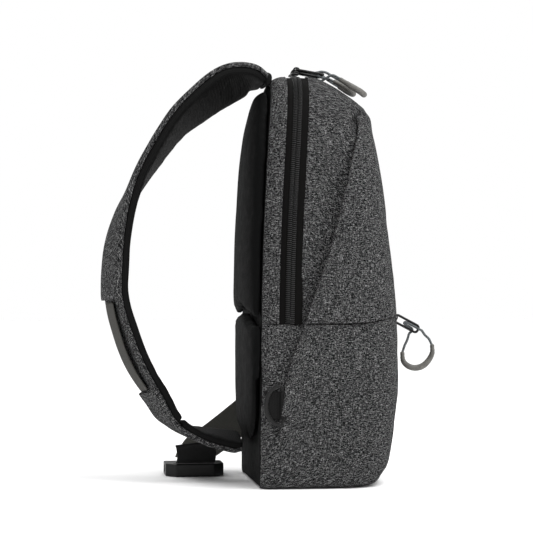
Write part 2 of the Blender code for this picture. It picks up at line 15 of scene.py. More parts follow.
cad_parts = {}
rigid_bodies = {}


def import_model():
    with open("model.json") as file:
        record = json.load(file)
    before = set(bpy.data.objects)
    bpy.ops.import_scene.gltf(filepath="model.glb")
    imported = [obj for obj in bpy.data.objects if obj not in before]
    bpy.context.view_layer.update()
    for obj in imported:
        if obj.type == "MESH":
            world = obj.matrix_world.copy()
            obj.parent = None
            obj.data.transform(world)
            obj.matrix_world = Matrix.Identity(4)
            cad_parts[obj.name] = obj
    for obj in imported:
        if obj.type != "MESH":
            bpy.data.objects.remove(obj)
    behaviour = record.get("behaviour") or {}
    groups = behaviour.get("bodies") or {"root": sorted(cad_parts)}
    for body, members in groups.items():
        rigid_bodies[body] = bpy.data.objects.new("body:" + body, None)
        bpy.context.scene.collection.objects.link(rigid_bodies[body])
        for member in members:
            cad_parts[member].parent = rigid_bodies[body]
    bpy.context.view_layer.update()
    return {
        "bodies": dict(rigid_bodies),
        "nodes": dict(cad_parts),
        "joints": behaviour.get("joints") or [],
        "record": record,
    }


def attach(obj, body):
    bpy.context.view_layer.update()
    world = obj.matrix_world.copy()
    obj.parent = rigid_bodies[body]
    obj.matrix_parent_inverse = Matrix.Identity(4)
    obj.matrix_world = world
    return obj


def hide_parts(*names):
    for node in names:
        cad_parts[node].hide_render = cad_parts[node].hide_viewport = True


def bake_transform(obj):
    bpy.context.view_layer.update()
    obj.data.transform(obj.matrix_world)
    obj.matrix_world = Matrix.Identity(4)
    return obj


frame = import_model()

MM = 0.001

# ---- the bag's form, as in the CAD

HEIGHT = 400.0
HALF_WIDTH = 95.0
ARCH_START = 270.0
ARCH_POWER = 2.6
CORNER_DEPTH = 55.0
CORNER_POWER = 3.0
SEAM_X = -53.5
TAPE_X = (-37.5, -17.0)
CHAIN_X = -27.25
SEAM_Z = 157.0
FRONT_SEAM_RISE = 6.0
FOLD_TOP = 222.0
FRONT_Z = (0, 3, 10, 28, 62, 104, 140, 183, 237, 318, 344, 356, 364, 371, 385, 393, 398, 400)
FRONT_X = (60, 66, 72.4, 78.7, 83, 84.8, 84.8, 82.6, 77.6, 67.6, 62.5, 61, 58, 51, 33, 19, 7, 0)
PAD_Z = (3, 36, 73, 149, 179, 300, 335, 370, 384, 391)
PAD_T = (1.5, 5, 8.5, 10.5, 13.4, 15.5, 15.0, 11, 7.5, 3)

# The diagonal edge of the raised front panel on each side, as X against Z, and its top edge.
DIAGONAL_Z = (50, 60, 89, 118, 156, 236, 298, 361, 380)
DIAGONAL_X = (-40.0, -39.4, -36, -29.5, -15.5, 12, 29, 46, 51)
PANEL_TOP = 363.0
SIDES = (("near", -1), ("far", 1))


def smooth_at(value, xs, ys):
    """A monotone cubic curve through the points (xs, ys), read at value."""
    value = min(max(value, xs[0]), xs[-1])
    i = min(int(np.searchsorted(xs, value, side="right")) - 1, len(xs) - 2)
    steps = [(ys[k + 1] - ys[k]) / (xs[k + 1] - xs[k]) for k in range(len(xs) - 1)]

    def slope(k):
        if k == 0:
            return steps[0]
        if k == len(xs) - 1:
            return steps[-1]
        before, after = steps[k - 1], steps[k]
        return 0.0 if before * after <= 0 else 2 * before * after / (before + after)

    width = xs[i + 1] - xs[i]
    t = (value - xs[i]) / width
    a, b = slope(i) * width, slope(i + 1) * width
    rise = ys[i + 1] - ys[i]
    return ys[i] + a * t + (3 * rise - 2 * a - b) * t**2 + (a + b - 2 * rise) * t**3


def lean(z):
    return 17.0 * (z / HEIGHT) ** 3 - 2.5


def front_x(z):
    return smooth_at(z, FRONT_Z, FRONT_X)


def diagonal_x(z):
    return smooth_at(z, DIAGONAL_Z, DIAGONAL_X)


def arch_half_width(z):
    if z > 120.0:
        width = HALF_WIDTH - 0.08 * (z - 120.0)
    else:
        width = HALF_WIDTH - 7.0 * ((120.0 - z) / 120.0) ** 2
    if z < 8.0:
        width -= 8.0 - math.sqrt(64.0 - (8.0 - z) ** 2)
    if z > ARCH_START:
        rise = min((z - ARCH_START) / (HEIGHT - ARCH_START), 1.0)
        width *= (1.0 - rise**ARCH_POWER) ** (1.0 / ARCH_POWER)
    return width


def fade(value, start, stop):
    """0 at start and 1 at stop, smoothly."""
    t = min(max((value - start) / (stop - start), 0.0), 1.0)
    return t * t * (3.0 - 2.0 * t)


def hump(value, start, full, fall, stop):
    """0 before start, 1 from full to fall and 0 again after stop."""
    return fade(value, start, full) * (1.0 - fade(value, fall, stop))


def seam_z(x):
    return SEAM_Z + FRONT_SEAM_RISE * fade(x, 35.0, 85.0)


def arch_z(angle):
    """The arch's height at an angle that runs from 0 at its foot to a right angle at its top."""
    return ARCH_START + (HEIGHT - ARCH_START) * np.sin(angle) ** (2 / ARCH_POWER)


# ---- making meshes


def unit(vectors):
    return vectors / np.maximum(np.linalg.norm(vectors, axis=-1, keepdims=True), 1e-9)


def grid_normals(grid):
    """Unit normals of a grid of points (rows, columns, 3)."""
    return unit(np.cross(np.gradient(grid, axis=1), np.gradient(grid, axis=0)))


def link(name, mesh):
    obj = bpy.data.objects.new(name, mesh)
    bpy.context.scene.collection.objects.link(obj)
    mesh.shade_smooth()
    return obj


def closed_up(bm, mesh):
    """Writes a bmesh into a mesh, its faces all turned outwards."""
    bmesh.ops.recalc_face_normals(bm, faces=bm.faces)
    bm.to_mesh(mesh)
    bm.free()
    return mesh


def grid_object(name, grid, closed=False, caps=False):
    """A mesh of quads over a grid in millimetres, with its UV map in metres of arc length."""
    rows, columns, _ = grid.shape
    bm = bmesh.new()
    uv = bm.loops.layers.uv.new("UVMap")
    verts = [[bm.verts.new(point * MM) for point in row] for row in grid]
    ring = np.concatenate([grid, grid[:, :1]], axis=1) if closed else grid
    across = np.linalg.norm(np.diff(ring, axis=1), axis=2)
    across = np.concatenate([np.zeros((rows, 1)), np.cumsum(across, axis=1)], axis=1)
    if not closed:
        across -= across[:, -1:] / 2
    along = np.cumsum(np.linalg.norm(np.diff(ring, axis=0), axis=2), axis=0)
    along = np.concatenate([np.zeros((1, ring.shape[1])), along])
    last = columns if closed else columns - 1
    for r in range(rows - 1):
        for c in range(last):
            d = (c + 1) % columns
            face = bm.faces.new((verts[r][c], verts[r][d], verts[r + 1][d], verts[r + 1][c]))
            places = ((r, c), (r, c + 1), (r + 1, c + 1), (r + 1, c))
            for loop, (a, b) in zip(face.loops, places):
                loop[uv].uv = (across[a, b] * MM, along[a, b] * MM)
    if caps:
        for row in (verts[0], verts[-1]):
            face = bm.faces.new(row)
            for loop in face.loops:
                loop[uv].uv = (loop.vert.co.x, loop.vert.co.y)
    return link(name, closed_up(bm, bpy.data.meshes.new(name)))


def modify(obj, kind, **settings):
    modifier = obj.modifiers.new(kind.lower(), kind)
    for key, value in settings.items():
        setattr(modifier, key, value)
    return modifier


def rounder(obj):
    modify(obj, "SUBSURF", levels=1, render_levels=1)
    return obj


def wrinkle(x, y, z, size, seed=0.0):
    """Smooth noise between -1 and 1 with features of the given size in millimetres."""
    return noise.noise(Vector((x / size + seed, y / size - seed, z / size + 2 * seed)))


def coat(obj, paint):
    """Makes a paint the only material of an object."""
    obj.data.materials.clear()
    obj.data.materials.append(paint)


def done(obj, paint, body="root", *replaced):
    """Gives a finished piece its material, body and the nodes it stands for."""
    coat(obj, paint)
    # The frame's own materials have the plain names, so a paint's may end in a number.
    if isinstance(body, tuple):
        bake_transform(obj)
    else:
        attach(obj, body)
    if replaced:
        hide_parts(*replaced)
    return obj


def cloth(name, grid, thickness, paint, body, *nodes, rounded=True, offset=-1.0):
    """A finished piece of cloth of the given thickness over a grid."""
    obj = grid_object(name, grid)
    modify(obj, "SOLIDIFY", thickness=thickness * MM, offset=offset, use_even_offset=False)
    return done(rounder(obj) if rounded else obj, paint, body, *nodes)


def circle(count):
    """Even angles all the way round."""
    return np.linspace(0, 2 * math.pi, count, endpoint=False)


# Cloth that crosses the opening front lies between the root and the flap over this height; a piece
# given this is attached to neither body.
FLAP_BLEND = ("root", "flap", (0.0, 0.0, 171.0 * MM), (0.0, 0.0, FOLD_TOP * MM))


# ---- camera, floor and light

AIM = Vector((-0.040, 0.0, 0.212))
SIGHT = Vector((0.12187, 0.99255, 0.0))
scene = bpy.context.scene
scene.view_settings.view_transform = "Standard"

camera = bpy.data.objects.new("camera", bpy.data.cameras.new("camera"))
scene.collection.objects.link(camera)
camera.data.lens = 136.0
camera.data.sensor_width = 36.0
camera.data.clip_start = 0.05
camera.data.clip_end = 60.0
camera.location = AIM - 2.0 * SIGHT
camera.rotation_euler = SIGHT.to_track_quat("-Z", "Y").to_euler()
scene.camera = camera


MIDDLE = Vector((-0.02, 0.0, 0.2))


def area_light(name, place, size, power):
    """A rectangular light of so many watts that looks at the middle of the bag."""
    light = bpy.data.lights.new(name, "AREA")
    light.shape = "RECTANGLE"
    light.size, light.size_y = size
    light.energy = power
    obj = bpy.data.objects.new(name, light)
    scene.collection.objects.link(obj)
    obj.location = place
    obj.rotation_euler = (MIDDLE - Vector(place)).to_track_quat("-Z", "Y").to_euler()


area_light("key_above", (0.75, -0.55, 1.9), (1.1, 1.1), 30)
area_light("fill_front", (-0.7, -2.3, 0.9), (1.4, 1.6), 3)
area_light("fill_right", (1.9, -0.9, 0.7), (1.0, 1.2), 7)
area_light("rim_behind", (-1.3, 1.6, 1.7), (1.4, 1.2), 12)

world = bpy.data.worlds.new("studio")
scene.world = world
world.use_nodes = True
nodes = world.node_tree.nodes
backdrop = nodes["Background"]
soft_fill = nodes.new("ShaderNodeBackground")
for background in (backdrop, soft_fill):
    background.inputs["Color"].default_value = (1, 1, 1, 1)
# The light of a big soft box overhead: dim at the horizon and bright at the zenith.
direction = nodes.new("ShaderNodeTexCoord")
split = nodes.new("ShaderNodeSeparateXYZ")
height = nodes.new("ShaderNodeMapRange")
for key, value in (("From Min", 0.0), ("From Max", 1.0), ("To Min", 0.28), ("To Max", 1.45)):
    height.inputs[key].default_value = value
sight = nodes.new("ShaderNodeLightPath")
either = nodes.new("ShaderNodeMixShader")
for start, stop in (
    (direction.outputs["Generated"], split.inputs[0]), (split.outputs["Z"], height.inputs["Value"]),
    (height.outputs["Result"], soft_fill.inputs["Strength"]),
    (sight.outputs["Is Camera Ray"], either.inputs[0]), (soft_fill.outputs[0], either.inputs[1]),
    (backdrop.outputs[0], either.inputs[2]), (either.outputs[0], nodes["World Output"].inputs[0]),
):
    world.node_tree.links.new(start, stop)


# ---- materials


class Paint:
    """A node material under construction. Lengths in its textures are in millimetres."""

    def __init__(self, name, level, roughness, tint=(1, 1, 1), **sockets):
        self.material = bpy.data.materials.new(name)
        self.material.use_nodes = True
        self.tree = self.material.node_tree
        self.tree.nodes.clear()
        self.shader = self.node("BsdfPrincipled")
        output = self.node("OutputMaterial")
        self.link(self.shader.outputs["BSDF"], output.inputs["Surface"])
        self.shader.inputs["Base Color"].default_value = (*tone(level, tint), 1)
        self.shader.inputs["Roughness"].default_value = roughness
        for key, value in sockets.items():
            self.shader.inputs[key.replace("_", " ")].default_value = value
        self.relief = None

    def node(self, kind, inputs=None, **settings):
        """A shader node, with values or links for its inputs."""
        made = self.tree.nodes.new("ShaderNode" + kind)
        for key, value in settings.items():
            setattr(made, key, value)
        for key, value in (inputs or {}).items():
            self.put(made.inputs[key], value)
        return made

    def link(self, start, end):
        self.tree.links.new(start, end)

    def put(self, socket, value):
        if hasattr(value, "is_linked"):
            self.link(value, socket)
        elif hasattr(value, "__len__") and len(value) < len(socket.default_value):
            socket.default_value = (*value, 1)
        else:
            socket.default_value = value

    def place(self, kind="UV", stretch=(1, 1, 1), turn=(0, 0, 0)):
        """Texture coordinates in millimetres, stretched and turned."""
        source = self.node("TexCoord").outputs[kind]
        scale = [1000 * share for share in stretch]
        return self.node("Mapping", {"Rotation": turn, "Scale": scale,
                                     "Vector": source}).outputs["Vector"]

    def noise(self, place, size, detail=2.0, roughness=0.5):
        return self.node("TexNoise", {"Vector": place, "Scale": 1.0 / size, "Detail": detail,
                                      "Roughness": roughness}).outputs["Fac"]

    def cells(self, place, size, randomness=1.0):
        return self.node("TexVoronoi", {"Vector": place, "Scale": 1.0 / size,
                                        "Randomness": randomness}).outputs["Distance"]

    def wave(self, place, pitch, along="X", distortion=0.0):
        inputs = {"Vector": place, "Scale": 2 * math.pi / (20 * pitch),
                  "Distortion": distortion, "Detail": 1.0}
        return self.node("TexWave", inputs, bands_direction=along).outputs["Fac"]

    def math(self, operation, a, b=0.0):
        return self.node("Math", {0: a, 1: b}, operation=operation).outputs[0]

    def blend(self, first, share, *others):
        """The sum of values, each with its share."""
        total = self.math("MULTIPLY", first, share)
        for value, part in zip(others[::2], others[1::2]):
            total = self.math("ADD", total, self.math("MULTIPLY", value, part))
        return total

    def span(self, value, low, high, to_low=0.0, to_high=1.0):
        return self.node("MapRange", {"Value": value, "From Min": low, "From Max": high,
                                      "To Min": to_low, "To Max": to_high}).outputs["Result"]

    def ramp(self, value, *stops):
        made = self.node("ValToRGB")
        self.put(made.inputs["Fac"], value)
        ramp = made.color_ramp
        while len(ramp.elements) < len(stops):
            ramp.elements.new(0.5)
        for element, (at, colour) in zip(ramp.elements, stops):
            element.position = at
            element.color = (*colour, 1)
        return made.outputs["Color"]

    def mix(self, share, a, b):
        return self.node("Mix", {0: share, 6: a, 7: b}, data_type="RGBA").outputs[2]

    def colour(self, value):
        self.put(self.shader.inputs["Base Color"], value)

    def rough(self, value):
        self.put(self.shader.inputs["Roughness"], value)

    def bump(self, height, distance, strength=1.0):
        """Adds relief: distance is how far a height of 1 stands out, in millimetres."""
        made = self.node("Bump", {"Distance": distance * MM, "Strength": strength,
                                  "Height": height})
        if self.relief is not None:
            self.link(self.relief, made.inputs["Normal"])
        self.relief = made.outputs["Normal"]
        self.put(self.shader.inputs["Normal"], self.relief)


def tone(level, tint=(1, 1, 1)):
    """A linear colour from an even 0 to 255 screen level."""
    value = level / 255
    value = value / 12.92 if value < 0.04045 else ((value + 0.055) / 1.055) ** 2.4
    return tuple(value * t for t in tint)


def melange_paint(name, across=1.0):
    """Grey melange: each thread's tone changes along it, and warp and weft take turns."""
    p = Paint(name, 74, 0.95, Specular_IOR_Level=0.06)
    even = p.place("UV", (across, 1, 1))
    weft = p.noise(p.place("UV", (0.18 * across, 1.0, 1)), 0.5, 1.0, 0.6)
    warp = p.noise(p.place("UV", (across, 0.18, 1)), 0.5, 1.0, 0.6)
    slub = p.noise(p.place("UV", (0.09 * across, 1.0, 1)), 0.75, 1.0)
    rise = p.noise(p.place("UV", (across, 0.08, 1)), 0.75, 1.0)
    over = p.wave(even, 1.1, "X", 0.9)
    under = p.wave(even, 1.1, "Y", 0.9)
    turns = p.math("ABSOLUTE", p.math("SUBTRACT", over, under))
    yarn = p.mix(p.span(turns, 0.15, 0.4), warp, weft)
    mixed = p.blend(yarn, 0.66, slub, 0.2, rise, 0.14)
    p.colour(p.ramp(
        mixed,
        (0.38, tone(3)), (0.45, tone(11, (1, 1, 1.03))), (0.50, tone(33, (0.99, 0.99, 1.03))),
        (0.55, tone(67, (1, 1, 1.02))), (0.62, tone(156)),
    ))
    p.rough(p.span(mixed, 0.35, 0.65, 1.0, 0.85))
    p.bump(turns, 0.2, 0.8)
    p.bump(yarn, 0.22, 0.7)
    return p.material


def plain_weave(name, level, pitch, tint=(1, 1, 1), roughness=0.85, depth=0.12, spread=0.35,
                sheen=0.0, coordinates="UV"):
    """A fine plain weave of one colour with random cloudy tone; its raised threads are painted a
    little paler as highlight and the dips between them darker as painted shade.
    """
    p = Paint(name, level, roughness, tint, Specular_IOR_Level=0.06, Sheen_Weight=sheen,
             Sheen_Roughness=0.4)
    place = p.place(coordinates)
    warp = p.wave(place, pitch, "X", 0.3)
    weft = p.wave(place, pitch, "Y", 0.3)
    raised = p.math("MULTIPLY", warp, weft)
    cloud = p.noise(place, 9.0, 3.0)
    mixed = p.blend(raised, 0.6, cloud, 0.4)
    # Painted highlight on the raised threads and painted shade between them, over random cloudy
    # tone.
    p.colour(p.ramp(mixed, (0.15, tone(level * (1 - spread), tint)),
                    (0.6, tone(level * (1 + spread), tint))))
    p.rough(p.span(cloud, 0.3, 0.7, roughness - 0.07, roughness + 0.07))
    p.bump(raised, depth)
    return p.material


def webbing_paint(name, level, tint=(1, 1, 1), pitch=1.5):
    """Woven webbing: cross ribs with the fine zigzag of its warp."""
    p = Paint(name, level, 0.7, tint, Specular_IOR_Level=0.12)
    place = p.place("UV")
    ribs = p.wave(place, pitch, "Y", 0.0)
    lines = p.wave(place, 1.1, "X", 0.0)
    slant = p.wave(p.place("UV", (1, 1, 1), (0, 0, 0.6)), 2.1, "X", 0.0)
    fuzz = p.noise(place, 0.5, 2.0)
    height = p.blend(ribs, 0.6, lines, 0.4, slant, 0.25)
    mixed = p.blend(height, 0.6, fuzz, 0.4)
    # The ribs' crowns are painted paler as highlight and their grooves darker as painted shade,
    # over random fuzz.
    p.colour(p.ramp(mixed, (0.2, tone(level * 0.55, tint)), (0.85, tone(level * 1.4, tint))))
    p.rough(p.span(fuzz, 0.2, 0.8, 0.6, 0.82))
    p.bump(height, 0.28)
    return p.material


def mesh_paint(name, level):
    """Black air mesh: rows of small round holes in a glossier knit."""
    p = Paint(name, level, 0.75, Specular_IOR_Level=0.1)
    place = p.place()
    holes = p.cells(place, 1.9, randomness=0.12)
    fuzz = p.noise(place, 0.6, 2.0)
    open_share = p.span(holes, 0.18, 0.42)
    # The holes are painted darker as the shade inside them; the knit between them has random tone.
    p.colour(p.mix(open_share, tone(level * 0.25), p.ramp(fuzz, (0.3, tone(level * 0.8)),
                                                          (0.7, tone(level * 1.9)))))
    p.rough(p.span(fuzz, 0.3, 0.7, 0.62, 0.85))
    p.bump(open_share, 0.3)
    return p.material


def moulded_paint(name, level, roughness, tint=(1, 1, 1), grain=0.04, **sockets):
    """Moulded plastic or rubber: a fine spark texture, faint flow marks and rubbed patches."""
    p = Paint(name, level, roughness, tint, **sockets)
    place = p.place("Object")
    spark = p.noise(place, 0.45, 3.0, 0.6)
    flow = p.noise(p.place("Object", (1, 0.25, 1)), 8.0, 3.0)
    scuff = p.span(p.noise(p.place("Object", (1, 2.5, 0.6)), 5.0, 4.0, 0.7), 0.56, 0.72)
    p.colour(p.mix(p.math("MULTIPLY", scuff, 0.5), p.ramp(
        flow, (0.3, tone(level * 0.85, tint)), (0.7, tone(level * 1.15, tint))),
        tone(level * 1.5 + 6, tint)))
    p.rough(p.span(p.math("ADD", spark, p.math("MULTIPLY", scuff, 0.6)), 0.3, 1.2,
                   roughness - 0.08, roughness + 0.16))
    p.bump(spark, grain)
    return p.material


def coil_paint(name, pitch):
    """A nylon coil: a painted highlight on each tooth and painted shade in the gap between it and
    the next.
    """
    p = Paint(name, 14, 0.36, Specular_IOR_Level=0.22)
    tooth = p.wave(p.place("UV"), pitch, "Y")
    dust = p.noise(p.place("UV"), 0.7, 2.0)
    # Painted highlight on each tooth's crown and painted shade in the gaps between the teeth.
    p.colour(p.ramp(tooth, (0.5, tone(1)), (0.8, tone(6)), (0.98, tone(62))))
    p.rough(p.span(dust, 0.3, 0.7, 0.3, 0.5))
    p.bump(tooth, 0.3)
    return p.material


def metal_paint(name, level, roughness=0.34):
    """Painted cast metal with a slight orange peel and paler rubbed patches."""
    p = Paint(name, level, roughness, Metallic=0.75, Coat_Weight=0.25, Coat_Roughness=0.2)
    place = p.place("Object")
    peel = p.noise(place, 0.7, 2.0)
    worn = p.span(p.noise(place, 1.8, 4.0, 0.7), 0.55, 0.75)
    p.colour(p.mix(worn, tone(level), tone(level * 2.2 + 10)))
    p.rough(p.span(peel, 0.3, 0.7, roughness - 0.06, roughness + 0.14))
    p.bump(peel, 0.03)
    return p.material


def braid_paint(name, level, tint):
    """A braided cord: slanting strands both ways, with black flecks."""
    p = Paint(name, level, 0.7, tint, Sheen_Weight=0.15)
    one = p.wave(p.place("UV", (1, 1, 1), (0, 0, 0.75)), 0.8, "X")
    two = p.wave(p.place("UV", (1, 1, 1), (0, 0, -0.75)), 0.8, "X")
    height = p.math("MAXIMUM", one, two)
    fleck = p.span(p.cells(p.place("UV", (1, 0.55, 1)), 2.2), 0.2, 0.34)
    # The strands' crowns are painted paler as highlight and the gaps between them darker as painted
    # shade; the black flecks are the cord's own colour.
    base = p.ramp(height, (0.4, tone(level * 0.6, tint)), (1.0, tone(level * 1.35, tint)))
    p.colour(p.mix(fleck, tone(14), base))
    p.rough(p.span(height, 0.3, 1.0, 0.85, 0.6))
    p.bump(height, 0.22)
    return p.material


MELANGE = melange_paint("melange_fabric")
MELANGE_STRAP = melange_paint("melange_strap", 0.55)
PAD_CLOTH = plain_weave("pad_cloth", 11, 0.8, (0.95, 1.0, 1.02), 0.8, 0.09, 0.22)
AIR_MESH = mesh_paint("air_mesh", 10)
BLACK_WEB = webbing_paint("black_webbing", 20)
OLIVE_WEB = webbing_paint("olive_webbing", 66, (1.03, 1.02, 0.92))
TAPE = plain_weave("zip_tape", 10, 0.7, (1.06, 1.0, 0.94), 0.8, 0.14)
TOOTH_PITCH = 1.9
COIL = coil_paint("zip_coil", TOOTH_PITCH)
ELASTIC = webbing_paint("elastic", 52, (1.04, 1.0, 0.9), 1.1)
LINING = plain_weave("lining", 62, 0.6, (1, 1, 1.04), 0.6, 0.05, 0.15, 0.1)
BOARD = moulded_paint("board", 70, 0.6, grain=0.08)
PLASTIC = moulded_paint("black_plastic", 12, 0.42, Specular_IOR_Level=0.28)
METAL = metal_paint("slider_metal", 11)
RUBBER = moulded_paint("grip_rubber", 84, 0.62, (1.06, 1.02, 0.93), 0.06)
CORD_BRAID = braid_paint("cord_braid", 78, (0.9, 1.02, 1.08))
FLOOR = plain_weave("floor", 251, 1.2, roughness=0.95, depth=0.0, spread=0.006,
                    coordinates="Object")

FLOOR_STEPS = np.linspace(-6000, 6000, 9)
floor = grid_object("floor", np.array([[(x, y, -0.2) for x in FLOOR_STEPS] for y in FLOOR_STEPS]))
floor.data.materials.append(FLOOR)


# ---- lines, tubes and ribbons


def lengths(line):
    return np.concatenate([[0.0], np.cumsum(np.linalg.norm(np.diff(line, axis=0), axis=1))])


def along_line(line, places):
    """The points of a line at the given lengths along it."""
    along = lengths(line[:, :3])
    return np.stack([np.interp(places, along, column) for column in line.T], axis=1)


def smooth_line(points, count):
    """count points at even lengths along a smooth curve through the given ones."""
    points = np.array(points, float)
    padded = np.vstack([2 * points[0] - points[1], points, 2 * points[-1] - points[-2]])
    fine = []
    for i in range(len(points) - 1):
        a, b, c, d = padded[i:i + 4]
        for t in np.linspace(0.0, 1.0, 24, endpoint=False):
            fine.append(0.5 * (2 * b + (c - a) * t + (2 * a - 5 * b + 4 * c - d) * t**2
                               + (3 * b - a - 3 * c + d) * t**3))
    fine = np.array(fine + [points[-1]])
    return along_line(fine, np.linspace(0.0, lengths(fine[:, :3])[-1], count))


def directions(line, closed=False):
    if closed:
        ahead = np.roll(line, -1, axis=0) - np.roll(line, 1, axis=0)
    else:
        ahead = np.gradient(line, axis=0)
    return unit(ahead)


def steady_sides(line, ahead):
    """Side directions carried along a line with as little twist as possible."""
    sides = [np.cross(ahead[0], (0.31, 0.17, 0.94))]
    for i in range(1, len(line)):
        side = sides[-1] - ahead[i] * np.dot(sides[-1], ahead[i])
        sides.append(side / np.linalg.norm(side))
    return unit(np.array(sides))


def circles(line, radii, across, up, sides):
    """Rows of points in circles round a line."""
    turns = circle(sides)[:, None]
    return line[:, None] + radii[:, None, None] * (
        np.cos(turns) * across[:, None] + np.sin(turns) * up[:, None])


def tube(name, line, radius, sides=12, tips=True):
    """A tube along a line, with rounded tips; radius is one number or one for each point."""
    line, radii = np.array(line, float), np.full(len(line), radius)
    if tips:
        ahead = directions(line)
        head = [line[0] - ahead[0] * radii[0] * k for k in (0.55, 0.42)]
        foot = [line[-1] + ahead[-1] * radii[-1] * k for k in (0.42, 0.55)]
        line = np.vstack([head, line, foot])
        radii = np.concatenate([[radii[0] * 0.35, radii[0] * 0.8], radii,
                                [radii[-1] * 0.8, radii[-1] * 0.35]])
    ahead = directions(line)
    across = steady_sides(line, ahead)
    grid = circles(line, radii, across, np.cross(across, ahead), sides)
    return grid_object(name, grid, closed=True, caps=True)


def loop_tube(name, line, radius, sides):
    """A closed loop of wire that lies in a plane."""
    line = np.array(line, float)
    flat = unit(np.cross(line[len(line) // 3] - line[0], line[2 * len(line) // 3] - line[0]))
    up = np.tile(flat, (len(line), 1))
    across = unit(np.cross(up, directions(line, closed=True)))
    grid = circles(line, np.full(len(line), radius), across, up, sides)
    return weld(grid_object(name, np.concatenate([grid, grid[:1]]), closed=True))


def weld(obj):
    """Joins the first and last rows of a loop, which lie on each other."""
    bm = bmesh.new()
    bm.from_mesh(obj.data)
    bmesh.ops.remove_doubles(bm, verts=bm.verts, dist=0.01 * MM)
    closed_up(bm, obj.data).shade_smooth()
    return obj


def faceted_block(name, rings, bevel=0.25, segments=2):
    """A closed block lofted through rings of points, its edges rounded."""
    bm = bmesh.new()
    rows = [[bm.verts.new(Vector(point) * MM) for point in ring] for ring in rings]
    count = len(rows[0])
    for low, high in zip(rows, rows[1:]):
        for k in range(count):
            bm.faces.new((low[k], low[(k + 1) % count], high[(k + 1) % count], high[k]))
    bm.faces.new(rows[0])
    bm.faces.new(rows[-1])
    obj = link(name, closed_up(bm, bpy.data.meshes.new(name)))
    modify(obj, "BEVEL", width=bevel * MM, segments=segments, limit_method="ANGLE",
           angle_limit=math.radians(25))
    modify(obj, "WEIGHTED_NORMAL", keep_sharp=True)
    return obj


# ---- pulls: cords, frames, grips

FRAME_LENGTH = 29.0
FRAME_HALF = 4.8
FRAME_BAR = 1.1
FRAME_CORNER = 3.4
CORD_RADIUS = 1.25
CORD_SIDE = FRAME_BAR + CORD_RADIUS + 0.3
PULL_AXES = {
    "near": ((-12.0, -6.6, 407.0), (33.0, -4.0, -6.0), (0.0, 1.0, 0.0)),
    "far": ((-12.0, 8.2, 406.0), (31.0, 8.0, -5.0), (0.0, 1.0, 0.0)),
    "pocket": ((88.2, 0.0, 161.6), (31.0, 0.0, -16.5), (0.0, 0.0, 1.0)),
}
CORD_INSIDE = (
    (19.0, -1.3, -0.6), (13.5, -1.1, 0.0), (12.0, 0.0, 0.0), (13.5, 1.1, 0.0), (18.5, 1.3, 0.4),
    (22.5, 1.2, 1.6), (25.6, 1.1, CORD_SIDE + 0.2), (28.5, 1.0, CORD_SIDE + 0.3),
    (31.5, 1.0, CORD_SIDE),
)
OVER_END = ((31.5, -1.0, -CORD_SIDE), (28.5, -1.0, -CORD_SIDE - 0.3),
            (25.6, -1.1, -CORD_SIDE - 0.2), (22.5, -1.3, -1.8))
OVER_SIDE = ((22.3, -7.6, -CORD_SIDE + 0.4), (23.2, -5.4, -CORD_SIDE - 0.3),
             (23.7, -3.2, -CORD_SIDE - 0.3), (22.6, -1.6, -1.9))
CORD_OUT = {"near": OVER_END, "far": OVER_END, "pocket": OVER_SIDE}
CORD_ENDS = {
    "near": (((24.0, -14.0, 401.4), (31.0, -17.0, 397.8)),
             ((25.0, -8.5, 400.8), (34.0, -4.0, 396.6), (42.0, -2.4, 392.2))),
    "far": (((22.0, 12.0, 400.6), (29.0, 10.0, 397.6)),
            ((24.5, 18.0, 399.4), (31.0, 21.5, 396.0), (36.0, 24.0, 393.6))),
    "pocket": (((102.4, 1.0, 138.8), (99.4, 0.5, 132.6), (97.3, 0.0, 126.4)),
               ((119.6, -1.8, 143.4), (123.8, -0.9, 139.6), (127.0, 0.0, 133.6))),
}
GRIP_PATHS = {
    "near": ((31.6, -17.6, 397.0), (40.0, -22.0, 391.0), (50.0, -20.0, 385.5),
             (56.0, -12.0, 382.8), (54.0, -4.8, 385.6), (42.8, -2.2, 391.8)),
    "far": ((29.6, 9.6, 397.4), (38.0, 7.0, 392.8), (46.0, 10.0, 388.6),
            (50.0, 18.0, 385.8), (45.0, 25.0, 388.6), (36.7, 24.2, 393.2)),
    "pocket": ((97.0, 0.0, 125.7), (98.0, 0.0, 117.5), (103.0, 0.0, 112.3), (110.0, 0.0, 110.4),
               (117.5, 0.0, 112.2), (123.5, 0.0, 117.6), (127.4, 0.0, 125.0), (127.4, 0.0, 133.0)),
}


def pull_axes(name):
    start, along, across = (np.array(value) for value in PULL_AXES[name])
    along = unit(along)
    across = unit(across - along * np.dot(across, along))
    return start, along, across, np.cross(along, across)


def rounded_loop(length, half, radius, steps=8):
    """A rounded rectangle from 0 to length, half to each side, as (along, across) points."""
    centres = ((length - radius, half - radius, 0), (radius, half - radius, 1),
               (radius, radius - half, 2), (length - radius, radius - half, 3))
    loop = []
    for u, v, quarter in centres:
        for i in range(steps + 1):
            angle = math.pi / 2 * (quarter + i / steps)
            loop.append((u + radius * math.cos(angle), v + radius * math.sin(angle)))
    return loop


